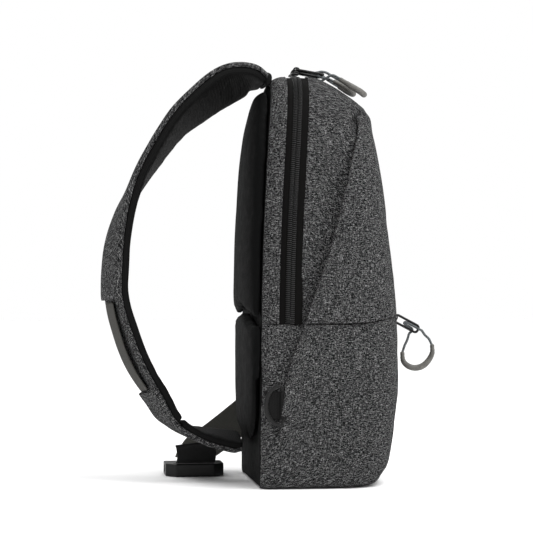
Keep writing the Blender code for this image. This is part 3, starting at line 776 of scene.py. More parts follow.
def make_pull(name):
    """A die-cast loop, a braided cord looped through it and the cord's moulded grip."""
    start, along, across, normal = pull_axes(name)
    body = f"pull_{name}"
    line = [start + along * (FRAME_BAR + u * (1 - 2 * FRAME_BAR / FRAME_LENGTH))
            + across * v * (1 - FRAME_BAR / FRAME_HALF)
            for u, v in rounded_loop(FRAME_LENGTH, FRAME_HALF, FRAME_CORNER)]
    wire = loop_tube(f"frame_wire_{name}", line, FRAME_BAR + 0.15, 12)
    done(wire, METAL, body, f"pull_frame_{name}")

    first, last = CORD_ENDS[name]
    inside = [tuple(start + along * u + across * v + normal * w)
              for u, v, w in CORD_OUT[name] + CORD_INSIDE]
    route = smooth_line(list(reversed(first)) + inside + list(last), 34)
    fine = smooth_line(route, 120)
    cord = tube(f"braided_cord_{name}", fine, CORD_RADIUS, 12, tips=False)
    done(cord, CORD_BRAID, body, f"pull_cord_{name}")

    line = smooth_line(GRIP_PATHS[name], 72)
    share = np.linspace(0, 1, len(line))
    radii = 2.1 + 1.0 * np.sin(math.pi * share)
    for middle in (0.06, 0.11, 0.89, 0.94):
        radii -= 0.28 * np.exp(-((share - middle) / 0.012) ** 2)
    grip = tube(f"moulded_grip_{name}", line, radii, 18)
    done(grip, RUBBER, body, f"pull_grip_{name}")


for pull in ("near", "far", "pocket"):
    make_pull(pull)


# ---- the cloth shell

REAR_X = (-53.5, -52.3, -49.5, -44.5, -37.8)
REAR_INSET = (9.0, 5.8, 3.2, 0.8, 0.0)
RING_Z = (66.0, 72.0, 81.0, 90.0, 99.0)
RING_RAISE = (0.0, 6.4, 7.4, 6.4, 0.0)


def rear_inset(x, z):
    """How far the cloth turns in towards the back seam, at x of the leaning bag."""
    x = x - lean(z)
    return smooth_at(x, REAR_X, REAR_INSET) if x < REAR_X[-1] else 0.0


def near_outline(z, rear):
    """Fine points round the near half of the level outline at z, from x = rear to the front."""
    half, front = arch_half_width(z), front_x(z)
    depth = max(min(CORNER_DEPTH, front - rear), 0.5)
    points = []
    for t in np.linspace(0, 1, 40, endpoint=False):
        x = rear + (front - depth - rear) * t
        points.append((x, -half))
    for i in range(81):
        angle = math.pi / 2 * (i / 80)
        x = front - depth + depth * math.sin(angle) ** (2 / CORNER_POWER)
        points.append((x, -half * math.cos(angle) ** (2 / CORNER_POWER)))
    points = np.array(points)
    turn = np.array([min(rear_inset(x, z), half * 0.8) for x in points[:, 0]])
    points[:, 1] = np.minimum(points[:, 1] + turn, 0.0)
    return points


def pleat_height(z):
    """How strongly the front panel's diagonal edge stands out at height z, from 0 to 1."""
    return hump(z, 46.0, 62.0, PANEL_TOP - 11.0, PANEL_TOP + 2.0)


SIDE_COLUMNS = 26
PANEL_COLUMNS = 64
# The folded edge of the front panel: shift along the outline and height, in shares of the pleat.
FOLD = ((5.0, -0.1), (6.5, 0.35), (4.0, 0.55), (1.6, 0.55), (0.4, 0.6), (0.0, 0.8), (0.3, 0.95),
        (1.2, 1.0))


def shell_half(levels, rear_of, lift, upper):
    """The near half of a lofted cloth shell with its pleat, as rows of points."""
    base, out = [], []
    for z in levels:
        outline = near_outline(z, rear_of(z))
        along = lengths(outline)
        xs = np.maximum.accumulate(outline[:, 0] + np.arange(len(outline)) * 1e-6)
        edge = min(diagonal_x(z), front_x(z) - 6.0)
        start = float(np.interp(edge, xs, along)) if edge > xs[0] + 1.0 else 1.0
        strength = pleat_height(z)
        side = np.linspace(0, start, SIDE_COLUMNS)
        fold = np.array([start + shift * strength + 0.02 * k for k, (shift, _) in enumerate(FOLD)])
        panel = np.linspace(start + 2.4, along[-1], PANEL_COLUMNS)
        s = np.concatenate([side, fold, panel])
        x, y = (np.interp(s, along, outline[:, k]) for k in (0, 1))
        rise = np.array([(seam_z(v) - SEAM_Z) for v in x]) * lift(z)
        base.append(np.stack([x, y, z + rise], axis=1))

        hollow = (7.0 if upper else 2.4) * strength * (1 - 0.45 * fade(z, 290.0, 350.0))
        hollow *= fade(z, SEAM_Z - 60.0, SEAM_Z + 50.0) if upper else 1.0
        raised = (4.4 if upper else 2.8) * strength * (1 - 0.8 * fade(z, 275.0, 315.0))
        ring = float(np.interp(z, RING_Z, RING_RAISE)) * (0.0 if upper else 1.0)
        width = 14.0 + 8.0 * hump(z, 180.0, 260.0, 280.0, 340.0)
        high = raised + ring
        offsets = list(-hollow * np.exp(-((start - side) / width) ** 2))
        offsets += [-hollow + (high + hollow) * level for _, level in FOLD]
        reach = 48.0 if upper else 40.0
        fall = np.exp(-((panel - start) / reach) ** 2)
        offsets += list(raised * fall + ring * np.exp(-((panel - start) / 11.0) ** 2))
        out.append(offsets)
    return np.array(base), np.array(out)


def mirrored(grid):
    """The near half and its mirror image beyond the middle of the front, in one row."""
    far = grid[:, -2::-1] * (1.0, -1.0, 1.0)
    return np.concatenate([grid, far], axis=1)


def crease(point, start, stop, depth, width):
    """A groove along the line from start to stop, as (x, z), fading at its ends."""
    ax, az = start
    bx, bz = stop
    px, pz = point[0] - ax, point[2] - az
    dx, dz = bx - ax, bz - az
    size = math.hypot(dx, dz)
    t = (px * dx + pz * dz) / size**2
    away = (px * dz - pz * dx) / size
    return -depth * math.exp(-((away / width) ** 2)) * hump(t, -0.15, 0.2, 0.8, 1.15)


NEAR_CREASES = (
    ((30.0, 21.0), (48.0, 28.0), 1.6, 2.6), ((55.0, 12.5), (68.0, 20.0), 2.2, 2.0),
    ((60.0, -2.0), (69.0, 13.0), 5.0, 2.2), ((38.0, 18.0), (60.0, 16.0), 1.2, 3.0),
)
FRONT_CORNER = 56.0


def hand_feel(point, upper):
    """The stuffed cloth's soft bulges and creases, as a height along its normal."""
    x, y, z = point
    soft = 0.75 * wrinkle(x, y, z, 46.0, 3.1) + 0.42 * wrinkle(x, y, z * 1.4, 19.0, 8.2)
    soft += 0.16 * wrinkle(x * 1.3, y, z * 0.7, 7.5, 5.0)
    top = fade(z, 300.0, 380.0)
    soft *= 1.0 - 0.4 * top
    ridge = math.exp(-((abs(y) - FRONT_CORNER) / 3.0) ** 2) if x > 45 else 0.0
    soft += 1.4 * ridge * hump(z, 60.0, 90.0, 225.0, 260.0)
    if not upper:
        for start, stop, depth, width in NEAR_CREASES:
            reach = 1.0 if y < -30 else (0.7 if y > 30 else 0.0)
            soft += crease(point, start, stop, depth, width) * reach
        soft *= fade(z, 0.0, 9.0) * 0.9 + 0.1
    if upper:
        # Where the pulls lie as their sliders come down, the cloth is a little slack.
        soft -= 1.1 * fade(z, 250.0, 310.0) * (1.0 - fade(x, 30.0, 42.0)) * fade(abs(y), 20.0, 40.0)
        # The hidden seam pinches the top of the diagonal edge, and tucks the cloth above the panel.
        pit = math.exp(-(((x - 46.0) / 7.0) ** 2 + ((z - PANEL_TOP + 6.5) / 8.0) ** 2))
        soft -= 8.5 * pit * fade(abs(y), 20.0, 45.0)
        drop = 2.0 * (abs(y) / 60.0) ** 2
        tuck = math.exp(-(((z - PANEL_TOP - 1.0 + drop) / 2.4) ** 2))
        soft -= 1.1 * tuck * fade(x, 40.0, 55.0) * (1.0 - 0.5 * fade(abs(y), 30.0, 60.0))
    return soft


def finished_shell(levels, rear_of, lift, upper, hem):
    """The whole shell over its levels, with its pleats, its soft creases and its hems."""
    base, out = shell_half(levels, rear_of, lift, upper)
    base, out = mirrored(base), np.concatenate([out, out[:, -2::-1]], axis=1)
    normal = grid_normals(base)
    first = SIDE_COLUMNS
    last = first + len(FOLD)
    total = base.shape[1]
    for start, stop, source in (
        (first, last, first - 1), (total - last, total - first, total - first)
    ):
        normal[:, start:stop] = normal[:, source:source + 1]
    feel = np.array([[hand_feel(point, upper) for point in row] for row in base])
    # The folded edge itself is stiffer than the cloth beside it.
    feel[:, first:last] *= 0.35
    return hem(base + normal * (out + feel)[:, :, None], normal)


# The lower shell, from its bottom up to the level seam.
LOWER_LEVELS = np.concatenate([
    [0.0, 0.9, 2.2, 4.0, 6.0, 8.0, 11.0, 14.0], np.linspace(17.0, 149.0, 60),
    [151.0, 153.0, 154.6, 155.6, 156.4],
])


def lower_hem(grid, normal):
    """Turns the seam edge in, and closes the bottom with rows that shrink to its middle."""
    extra = []
    for depth, rise in ((0.5, 0.5), (1.5, 0.7), (3.2, 0.3)):
        extra.append(grid[-1] - normal[-1] * depth + (0.0, 0.0, rise))
    centre = np.array((2.0, 0.0, 0.0))
    flat = []
    for share in (0.30, 0.62, 0.86, 0.955):
        row = centre + (grid[0] - centre) * (share, share, 0.0)
        row[:, 2] = 0.15 + 0.5 * (1 - share)
        flat.append(row)
    return np.concatenate([np.array(flat), grid, np.array(extra)])


grid = finished_shell(LOWER_LEVELS, lambda z: SEAM_X + lean(z), lambda z: fade(z, 95.0, 150.0),
                      False, lower_hem)
grid[:, :, 2] = np.maximum(grid[:, :, 2], 0.05)
cloth("cloth_lower", grid, 1.4, MELANGE, "root", "lower_shell")

# The upper shell, from the level seam up, which covers the flap and its folding foot.
ARCH_ANGLES = np.linspace(0.0, 0.992, 44) * math.pi / 2
UPPER_LEVELS = np.concatenate([
    [157.7, 158.5, 159.8, 161.6, 164.0], np.linspace(167.0, 267.0, 44),
    arch_z(ARCH_ANGLES),
])
UPPER_LEVELS = np.sort(np.concatenate([UPPER_LEVELS, (356.5, 361.0, 365.0, 368.0)]))


def upper_hem(grid, normal):
    extra = []
    for depth, drop in ((3.2, -0.4), (1.5, -0.6), (0.5, -0.4)):
        extra.append(grid[0] - normal[0] * depth + (0.0, 0.0, drop + 0.6))
    grid = np.concatenate([np.array(extra), grid])
    # The edges along the zip are folded under.
    row = np.maximum(np.arange(len(grid)) - 3, 0)
    near, far = (grid[:, k:k + 1 or None] + (0.5, 0.0, 0.0) - normal[row][:, k:k + 1 or None] * 1.6
                 for k in (0, -1))
    return np.concatenate([near, grid, far], axis=1)


grid = finished_shell(UPPER_LEVELS, lambda z: TAPE_X[1] + 0.3 + lean(z),
                      lambda z: 1.0 - fade(z, 163.0, 215.0), True, upper_hem)
cloth("cloth_front", grid, 1.4, MELANGE, FLAP_BLEND, "front_flap", "flap_fold")


# ---- bands along the arch


def arch_line(z_start, step):
    """Even points (y, z) and outward normals up the near side, over the arch and down again."""
    levels = [*np.linspace(z_start, ARCH_START, 60, endpoint=False),
              *arch_z(np.linspace(0, 0.9995, 120) * math.pi / 2)]
    near = np.array([(-arch_half_width(z), z) for z in levels])
    whole = np.concatenate([near, [(0.0, HEIGHT)], near[::-1] * (-1.0, 1.0)])
    length = lengths(whole)[-1]
    wanted = np.linspace(0, length, int(length / step) + 1)
    points = along_line(whole, wanted)
    ahead = unit(np.gradient(points, axis=0))
    return points, np.stack([-ahead[:, 1], ahead[:, 0]], axis=1), wanted


def band_grid(stations, z_start, step, shape=None):
    """Rows of points along the arch; each station is an X and an inset from its outline."""
    points, normals, along = arch_line(z_start, step)
    rows = []
    for (y, z), (ny, nz), s in zip(points, normals, along):
        row = []
        for k, (x, inset) in enumerate(stations):
            inset = inset - (shape(x, y, z, s, k) if shape else 0.0)
            row.append((x + lean(z), y - ny * inset, z - nz * inset))
        rows.append(row)
    return np.array(rows)


GUSSET = ((-53.3, 10.6), (-53.5, 9.0), (-52.6, 6.2), (-51.2, 4.6), (-49.5, 3.2), (-47.2, 1.9),
          (-44.5, 0.8), (-42.2, 0.35), (-40.2, 0.1), (-39.2, 0.35), (-38.6, 0.05), (-38.0, 0.0),
          (-37.6, 0.3), (-37.5, 1.0))


def gusset_feel(x, y, z, s, k):
    inner = 0.0 if k < 4 or k > 9 else 1.0
    return inner * (0.35 * wrinkle(x * 1.6, y, z, 24.0, 2.0) + 0.15 * wrinkle(x, y, z, 9.0, 6.0))


cloth("cloth_gusset", band_grid(GUSSET, 157.4, 3.2, gusset_feel), 1.3, MELANGE, "root",
      "rear_gusset")

# The zip's foot, and its two tapes as X and inset across them.
LOWEST = 156.6
TAPES = {
    "rear": ((-39.0, 1.7), (-37.0, 1.3), (-34.4, 1.15), (-31.6, 1.1), (-30.3, 1.2)),
    "front": ((-24.2, 1.2), (-22.9, 1.1), (-19.6, 1.15), (-17.2, 1.3), (-15.0, 2.0)),
}
ZIP_SIDES = (("rear", -1, "root"), ("front", 1, FLAP_BLEND))
for name, side, body in ZIP_SIDES:
    cloth(f"tape_{name}", band_grid(TAPES[name], LOWEST, 2.4), 0.7, TAPE, body, f"zip_tape_{name}")


COIL_HALF = 4.1
STEPS_A_TOOTH = 6


def coil_grid(side):
    """One half of the coil: ribs at the tooth pitch, set against the other half's."""
    reach = (0.0, 0.12, 0.3, 0.5, 0.7, 0.88, 1.0)
    lift = (-0.2, 0.75, 1.15, 1.25, 1.22, 1.12, 0.85)
    stations = [(CHAIN_X + side * COIL_HALF * (1.0 - r) + side * 0.12, 1.0) for r in reach]
    phase = 0.0 if side < 0 else math.pi

    def tooth(x, y, z, s, k):
        turn = 2 * math.pi * s / TOOTH_PITCH + phase
        return lift[k] * (0.45 + 0.55 * math.tanh(2.6 * math.cos(turn)))

    grid = band_grid(stations, LOWEST + 0.4, TOOTH_PITCH / STEPS_A_TOOTH, tooth)
    return grid if side < 0 else grid[:, ::-1]


for name, side, body in ZIP_SIDES:
    grid = coil_grid(side)
    coil = cloth(f"coil_{name}", grid, 0.5, COIL, body, f"zip_coil_{name}", rounded=False)
    # Its texture, painted highlights on the teeth and painted shade between them, keeps step with
    # its teeth.
    for loop in coil.data.loops:
        row, column = divmod(loop.vertex_index, grid.shape[1])
        turn = row / STEPS_A_TOOTH + (0.5 if side < 0 else 0.0)
        coil.data.uv_layers[0].data[loop.index].uv = (column * 0.8 * MM, turn * TOOTH_PITCH * MM)


# The stop that closes each lower end of the main zip.
for name, side in SIDES:
    y = side * (arch_half_width(LOWEST + 2) - 0.4)
    x = CHAIN_X + lean(LOWEST)
    rings = []
    for out, spread in ((-0.6, 1.0), (0.5, 1.0), (1.0, 0.8)):
        rings.append([(x + a * 3.4 * spread, y + side * out, LOWEST + 3.4 + b * 1.8 * spread)
                      for a, b in ((-1, -1), (1, -1), (1, 1), (-1, 1))])
    done(faceted_block(f"zip_stop_{name}", rings, 0.3), COIL)


# ---- the back and its pads


def chevron_z(y):
    """The height of the groove between the two back pads."""
    return 171.0 - 14.0 * abs(y) / HALF_WIDTH


BACK_INSET = 8.6


def back_wall():
    """The flat black cloth behind the pads, up to the back seam."""
    rows = []
    for z in np.concatenate([np.linspace(2.0, 268.0, 60), arch_z(ARCH_ANGLES[1:])]):
        level = min(z + (BACK_INSET if z > 300 else 0.0), 399.9)
        half = max(arch_half_width(level) - BACK_INSET, 0.5)
        z = min(z, HEIGHT - BACK_INSET)
        rows.append([(SEAM_X - 0.05 + lean(z), half * t, z) for t in np.linspace(-1, 1, 30)])
    return np.array(rows)


cloth("back_cloth", back_wall(), 1.0, PAD_CLOTH, "root", rounded=False)


def pad_mesh(name, low_of, high_of, rows, shrink):
    """A closed crowned pad between two edges, as a grid of its skin, before it is stuffed."""
    bm = bmesh.new()
    across = np.linspace(-1, 1, 33)
    skins = []
    for face in (0, 1):
        skin = []
        for share in np.linspace(0, 1, rows):
            middle = low_of(0.0) + (high_of(0.0) - low_of(0.0)) * share
            half = max(arch_half_width(min(middle, 391.0)) - 4.8 - shrink, 8.0)
            row = []
            for side in across:
                y = half * side
                z = low_of(y) + (high_of(y) - low_of(y)) * share
                end = min(share, 1.0 - share) * (high_of(0.0) - low_of(0.0))
                z += shrink * (1.0 if share < 0.5 else -1.0) * max(0.0, 1.0 - end / 12.0)
                x = SEAM_X - 0.3 + lean(z)
                depth = smooth_at(z, PAD_Z, PAD_T) - shrink
                rim = 0.40 + 0.60 * (1.0 - abs(side) ** 3.0)
                rim *= 0.86 + 0.14 * min(1.0, end / 4.0) ** 0.5
                row.append(bm.verts.new(Vector((x - max(depth, 0.8) * rim * face, y, z)) * MM))
            skin.append(row)
        skins.append(skin)
    for skin in skins:
        for a, b in zip(skin, skin[1:]):
            for k in range(len(across) - 1):
                bm.faces.new((a[k], a[k + 1], b[k + 1], b[k]))
    rims = [skins[f][0] + [r[-1] for r in skins[f][1:-1]] + skins[f][-1][::-1]
            + [r[0] for r in skins[f][-2:0:-1]] for f in (0, 1)]
    count = len(rims[0])
    for k in range(count):
        bm.faces.new((rims[0][k], rims[0][(k + 1) % count], rims[1][(k + 1) % count], rims[1][k]))
    return link(name, closed_up(bm, bpy.data.meshes.new(name)))


def bake(obj):
    """The object's mesh with its modifiers applied."""
    graph = bpy.context.evaluated_depsgraph_get()
    mesh = bpy.data.meshes.new_from_object(obj.evaluated_get(graph))
    obj.modifiers.clear()
    obj.data = mesh
    return obj


SWELL_FRAMES = 20


def stuffed(obj, voxel, pressure, cap):
    """Swells a closed skin as stuffed cloth does, moving no point further than cap."""
    modify(obj, "REMESH", mode="VOXEL", voxel_size=voxel * MM)
    bake(obj)
    rest = np.array([v.co for v in obj.data.vertices])
    settings = modify(obj, "CLOTH").settings
    for key, value in (
        ("use_pressure", True), ("uniform_pressure_force", pressure), ("quality", 5),
        ("mass", 0.3), ("tension_stiffness", 20.0), ("compression_stiffness", 20.0),
        ("bending_stiffness", 0.6),
    ):
        setattr(settings, key, value)
    settings.effector_weights.gravity = 0.0
    for number in range(1, SWELL_FRAMES + 1):
        scene.frame_set(number)
    graph = bpy.context.evaluated_depsgraph_get()
    moved = np.array([v.co for v in obj.evaluated_get(graph).data.vertices])
    obj.modifiers.clear()
    step = moved - rest
    size = np.linalg.norm(step, axis=1)
    step *= (np.minimum(size, cap * MM) / np.maximum(size, 1e-9))[:, None]
    for vertex, place in zip(obj.data.vertices, rest + step):
        vertex.co = place
    scene.frame_set(1)
    return obj


def finish_pad(obj, upper):
    """Keeps a stuffed pad off the back cloth and its neighbour, and gives it its soft dents."""
    for vertex in obj.data.vertices:
        x, y, z = np.array(vertex.co) / MM
        x = min(x, SEAM_X - 0.25 + lean(z))
        groove = chevron_z(y)
        z = max(z, groove + 0.55) if upper else min(z, groove - 0.55)
        z = min(max(z, 1.2), 391.0)
        front = SEAM_X - 0.3 + lean(z)
        face = min((front - x) / 5.0, 1.0) if front > x else 0.0
        x -= face * (0.5 * wrinkle(x, y, z, 38.0, 1.7) + 0.22 * wrinkle(x, y, z, 14.0, 9.0))
        vertex.co = Vector((min(x, front), y, z)) * MM
    obj.data.update()
    layer = obj.data.uv_layers.get("UVMap") or obj.data.uv_layers.new(name="UVMap")
    for loop in obj.data.loops:
        layer.data[loop.index].uv = obj.data.vertices[loop.vertex_index].co[1:]
    rounder(obj).data.shade_smooth()


for name, low_of, high_of, rows, is_upper in (
    ("back_pad_upper", lambda y: chevron_z(y) + 1.2, lambda y: 388.0, 48, True),
    ("back_pad_lower", lambda y: 3.0, lambda y: chevron_z(y) - 1.2, 36, False),
):
    pad = pad_mesh("soft_" + name, low_of, high_of, rows, 1.6)
    stuffed(pad, 4.0, 3.0, 2.6)
    finish_pad(pad, is_upper)
    done(pad, PAD_CLOTH, "root", name)


# ---- the shoulder strap

STRAP_XZ = (
    (-42.5, 397), (-54.5, 399.7), (-66.5, 397), (-84.5, 390), (-110.5, 371), (-134, 348.5),
    (-161.5, 308), (-174.5, 283), (-184, 256.6), (-190, 224.4), (-191, 181.7), (-181, 146),
    (-168, 113), (-149.5, 81.4), (-137.5, 62), (-120, 49), (-99, 42), (-80, 38.5), (-66, 36.5),
)
STRAP_ROLL = (0, -10, -21, -26, -22, -15, -8, -1, 6, 11, 12, 12, 12, 11, 8, 3, -4, -8, -9)
STRAP_HALF = 31.0
FINE = 3
SLEEVE_END = 42
LOWER_SLEEVE = 56
PAD_END = 62
TAIL_END = 72


def strap_frames():
    data = [(x, 0.0, z, roll) for (x, z), roll in zip(STRAP_XZ, STRAP_ROLL)]
    line = smooth_line(data, TAIL_END * FINE + 1)
    centres, rolls = line[:, :3], np.radians(line[:, 3])
    ahead = directions(centres)
    outward = np.cross((0.0, 1.0, 0.0), ahead)
    across = np.tile((0.0, 1.0, 0.0), (len(line), 1))
    turn, rest = np.cos(rolls)[:, None], np.sin(rolls)[:, None]
    return centres, ahead, turn * across + rest * outward, turn * outward - rest * across


STRAP = strap_frames()


def strap_grid(start, stop, profile, feel=None):
    """Rows of points along the strap; profile(frame) gives its (across, out) points there."""
    centres, _, sides, ups = STRAP
    rows = []
    for i in range(int(start * FINE), int(stop * FINE) + 1):
        row = []
        for a, b in profile(i / FINE):
            b += feel(i / FINE, a, b) if feel else 0.0
            row.append(centres[i] + sides[i] * a + ups[i] * b)
        rows.append(row)
    return np.array(rows)


def power(value, exponent):
    return math.copysign(abs(value) ** exponent, value)


def pad_profile(low, high, half):
    """A rounded, slightly crowned cross-section of foam under cloth."""
    return [(half * power(math.cos(turn), 0.26),
             (low + high) / 2 + (high - low) / 2 * power(math.sin(turn), 0.55))
            for turn in circle(36)]


def wrapped(out, edge, half, depth, count=15):
    """A cloth face that lies at out in the middle and edge at its sides, and turns down depth."""
    middle = [(half * t, out - (out - edge) * abs(t) ** 3) for t in np.linspace(-0.97, 0.97, count)]
    side = ((half + 0.5, edge - 1.0), (half + 0.9, edge - 0.5 * depth), (half + 0.3, edge - depth))
    return [(-a, b) for a, b in side[::-1]] + middle + list(side)


def ends(frame, start, stop, reach=1.3):
    """How full a padded strap is near its two ends, from about a half to 1."""
    near = min(max((frame - start) / reach, 0.0), 1.0)
    far = min(max((stop - frame) / reach, 0.0), 1.0)
    return 0.8 + 0.2 * math.sqrt(min(near, far) * (2.0 - min(near, far)))


def mesh_feel(frame, a, b):
    """The underside's soft dents, with short folds where the strap bends most."""
    dent = 0.55 * wrinkle(a * 0.9, frame * 6.0, b, 17.0, 4.0)
    bend = fade(frame, 0.0, 3.0) * (1.0 - fade(frame, 22.0, 30.0))
    bend += fade(frame, 50.0, 56.0)
    fold = 0.7 * wrinkle(a * 0.25, frame * 6.0, 0.0, 7.0, 7.0) * bend
    return (dent + fold) * (1.0 if b < -2 else 0.25)


def pad_section(frame):
    full = ends(frame, 0.0, PAD_END)
    return pad_profile(-8.4 * full, 1.3 * full, STRAP_HALF - 1.5 * (1 - full))


def solid(name, grid):
    """A rounded closed piece over rows of points round its section."""
    return rounder(grid_object(name, grid, closed=True, caps=True))


strap_pad = solid("soft_strap_pad", strap_grid(0, PAD_END, pad_section, mesh_feel))
done(strap_pad, AIR_MESH, "root", "strap_pad")


def cloth_feel(size, height, seed):
    """Soft dents across and along a piece of the strap's cloth."""
    return lambda frame, a, b: height * wrinkle(a, frame * 6.0, 0.0, size, seed)


grid = strap_grid(0.3, PAD_END, lambda frame: wrapped(3.1, 2.7, STRAP_HALF - 0.3, 3.0),
                  cloth_feel(24.0, 0.3, 3.0))
cloth("strap_face_cloth", grid, 1.0, MELANGE_STRAP, "root", "strap_face")


SLEEVE_HALF = STRAP_HALF + 0.4


def upper_sleeve(frame):
    """The upper sleeve's section, fuller at its open end and pulled flat at the anchor."""
    open_end = fade(frame, SLEEVE_END - 2.5, SLEEVE_END)
    start = 1.0 - fade(frame, 0.0, 2.0)
    return wrapped(6.6 + 1.4 * open_end - 2.0 * start, 5.4 + 0.5 * open_end - 1.6 * start,
                   SLEEVE_HALF, 5.4)


def lower_sleeve(frame):
    """The lower sleeve's section, fuller at its open end and sewn flat at the tail."""
    open_end = 1.0 - fade(frame, LOWER_SLEEVE, LOWER_SLEEVE + 2.0)
    stop = fade(frame, PAD_END - 2.5, PAD_END)
    return wrapped(6.5 + 1.6 * open_end - 2.4 * stop, 5.6 + 0.3 * open_end - 2.0 * stop,
                   SLEEVE_HALF, 5.6 - 1.6 * stop)


def hem(grid, at_start):
    """Folds the open end of a sleeve back under itself."""
    edge, next_row = (grid[0], grid[1]) if at_start else (grid[-1], grid[-2])
    out = unit(edge - next_row)
    inward = -grid_normals(grid)[0 if at_start else -1]
    middle = edge.mean(axis=0)
    if np.sum(inward * (middle - edge)) < 0:
        inward = -inward
    rows = [edge + out * 0.7 + inward * 0.4, edge + out * 0.6 + inward * 1.2,
            edge - out * 3.0 + inward * 1.5]
    if at_start:
        return np.concatenate([np.array(rows[::-1]), grid])
    return np.concatenate([grid, np.array(rows)])


for name, start, stop, profile, at_start in (
    ("upper", 0.3, SLEEVE_END, upper_sleeve, False),
    ("lower", LOWER_SLEEVE, PAD_END, lower_sleeve, True),
):
    grid = hem(strap_grid(start, stop, profile, cloth_feel(21.0, 0.45, 5.5)), at_start)
    cloth(f"sleeve_cloth_{name}", grid, 1.0, MELANGE_STRAP, "root", f"strap_sleeve_{name}")


BAND_START = 42.4
BAND_END = 55.8
BAND_HALF = 15.0


def band_section(frame):
    """The elastic's section, bowed away from the strap between the two sleeves."""
    share = (frame - BAND_START) / (BAND_END - BAND_START)
    bow = 2.3 * math.sin(math.pi * min(max(share, 0.0), 1.0))
    low, high, flat = 4.9 + bow, 6.3 + bow, BAND_HALF - 1.0
    under = [(-BAND_HALF, low + 0.4), (-flat, low), (0.0, low), (flat, low), (BAND_HALF, low + 0.4)]
    over = [(BAND_HALF, high - 0.4), (flat, high), (0.0, high), (-flat, high),
            (-BAND_HALF, high - 0.4)]
    return under + over


done(solid("elastic_band", strap_grid(BAND_START, BAND_END, band_section)), ELASTIC, "root",
     "strap_band")


TAIL_HALF = 28.0


def tail_section(frame):
    full = ends(frame, PAD_END - 3.0, TAIL_END, 1.0)
    return pad_profile(-7.6 * full, 0.5 * full, TAIL_HALF - 2.0 * (1 - full))


tail = solid("soft_strap_tail", strap_grid(PAD_END + 0.34, TAIL_END, tail_section, mesh_feel))
done(tail, AIR_MESH, "root", "strap_tail")


def tail_face(frame):
    drop = 2.9 * fade(frame, TAIL_END - 1.2, TAIL_END)
    return wrapped(5.0 - drop, 4.4 - drop, TAIL_HALF - 0.4, 5.2)


grid = strap_grid(PAD_END - 0.67, TAIL_END, tail_face, cloth_feel(16.0, 0.35, 9.0))
cloth("tail_face_cloth", grid, 1.0, MELANGE_STRAP, "root")


# ---- webbing


def ribbon(name, points, widths, half, thickness=1.4, count=70):
    """Flat webbing along points; widths gives its width direction at each of them."""
    data = [(*point, *width) for point, width in zip(points, widths)]
    line = smooth_line(data, count)
    centres = line[:, :3]
    ahead = directions(centres)
    sides = unit(line[:, 3:] - ahead * np.sum(line[:, 3:] * ahead, axis=1)[:, None])
    ups = np.cross(ahead, sides)
    t = thickness / 2
    outline = [(-half, 0.0), (-half + 0.3, -0.75 * t), (-half + 1.0, -t)]
    outline += [(a, -t) for a in np.linspace(-half + 2.5, half - 2.5, 9)]
    outline += [(half - 1.0, -t), (half - 0.3, -0.75 * t), (half, 0.0), (half - 0.3, 0.75 * t),
                (half - 1.0, t)]
    outline += [(a, t) for a in np.linspace(half - 2.5, -half + 2.5, 9)]
    outline += [(-half + 1.0, t), (-half + 0.3, 0.75 * t)]
    grid = np.array([[c + s * a + u * b for a, b in outline]
                     for c, s, u in zip(centres, sides, ups)])
    return grid_object(name, grid, closed=True, caps=True)


BUCKLE_MIDDLE = -107.5
x = BUCKLE_MIDDLE
# From the strap's tail down into the socket.
web = ribbon(
    "strap_web",
    ((x - 4, -15.0, 37.5), (x - 4, -2.0, 37.0), (x - 2, 12.0, 32.5), (x, 24.0, 22.5),
     (x, 31.0, 17.0), (x, 37.0, 14.8), (x, 43.5, 14.2)),
    ((1, 0, 0.1), (1, 0, 0.1), (1, 0, 0.06), (1, 0, 0.03), (1, 0, 0), (1, 0, 0), (1, 0, 0)), 19.5)
done(web, BLACK_WEB, "root", "strap_webbing")
# The lower webbing reaches from the plug, which slides out, round to the far ring, which stays.
web = ribbon(
    "lower_web",
    ((x + 1, 99.0, 13.0), (x + 3, 106.5, 16.8), (x + 10, 112.0, 22.0), (x + 22, 111.5, 30.0),
     (x + 35, 109.0, 40.0), (-59.0, 106.0, 51.0), (-45.0, 104.3, 62.5)),
    ((1, 0, 0), (1, 0, 0.1), (0.95, 0, -0.3), (0.78, 0, -0.62), (0.66, 0, -0.75),
     (0.62, 0, -0.78), (0.61, 0, -0.79)), 17.0, count=90)
done(web, OLIVE_WEB,
     ("root", "buckle_plug", (-0.055, 0.105, 0.055), (-0.103, 0.105, 0.015)), "lower_webbing")


# ---- rings, tabs and anchor

RING_X = -36.5
RING_Y = 98.3
RING_BAR = 1.15


def make_ring(name, side, body):
    """A moulded D: a straight bar and a bow that is widest in its middle."""
    path = [(RING_X, side * RING_Y, z) for z in np.linspace(64.0, 97.0, 9)]
    radii = [RING_BAR] * len(path)
    for angle in np.linspace(0, math.pi, 33):
        path.append((RING_X - 2.0 - 14.0 * math.sin(angle), side * RING_Y,
                     80.5 + 18.6 * math.cos(angle)))
        radii.append(1.2 + 0.9 * abs(math.sin(angle)) ** 0.6)
    line = np.array(path)
    out = np.array((0.0, float(side), 0.0))
    across = unit(np.cross(out, directions(line, closed=True)))
    section = [(power(math.cos(t), 0.7), RING_BAR * power(math.sin(t), 0.7)) for t in circle(12)]
    rows = [[centre + a * radius * u + out * v for u, v in section]
            for centre, a, radius in zip(line, across, radii)]
    rows.append(rows[0])
    ring = weld(grid_object(f"ring_{name}", np.array(rows), closed=True))
    done(ring, PLASTIC, body, f"d_ring_{name}")


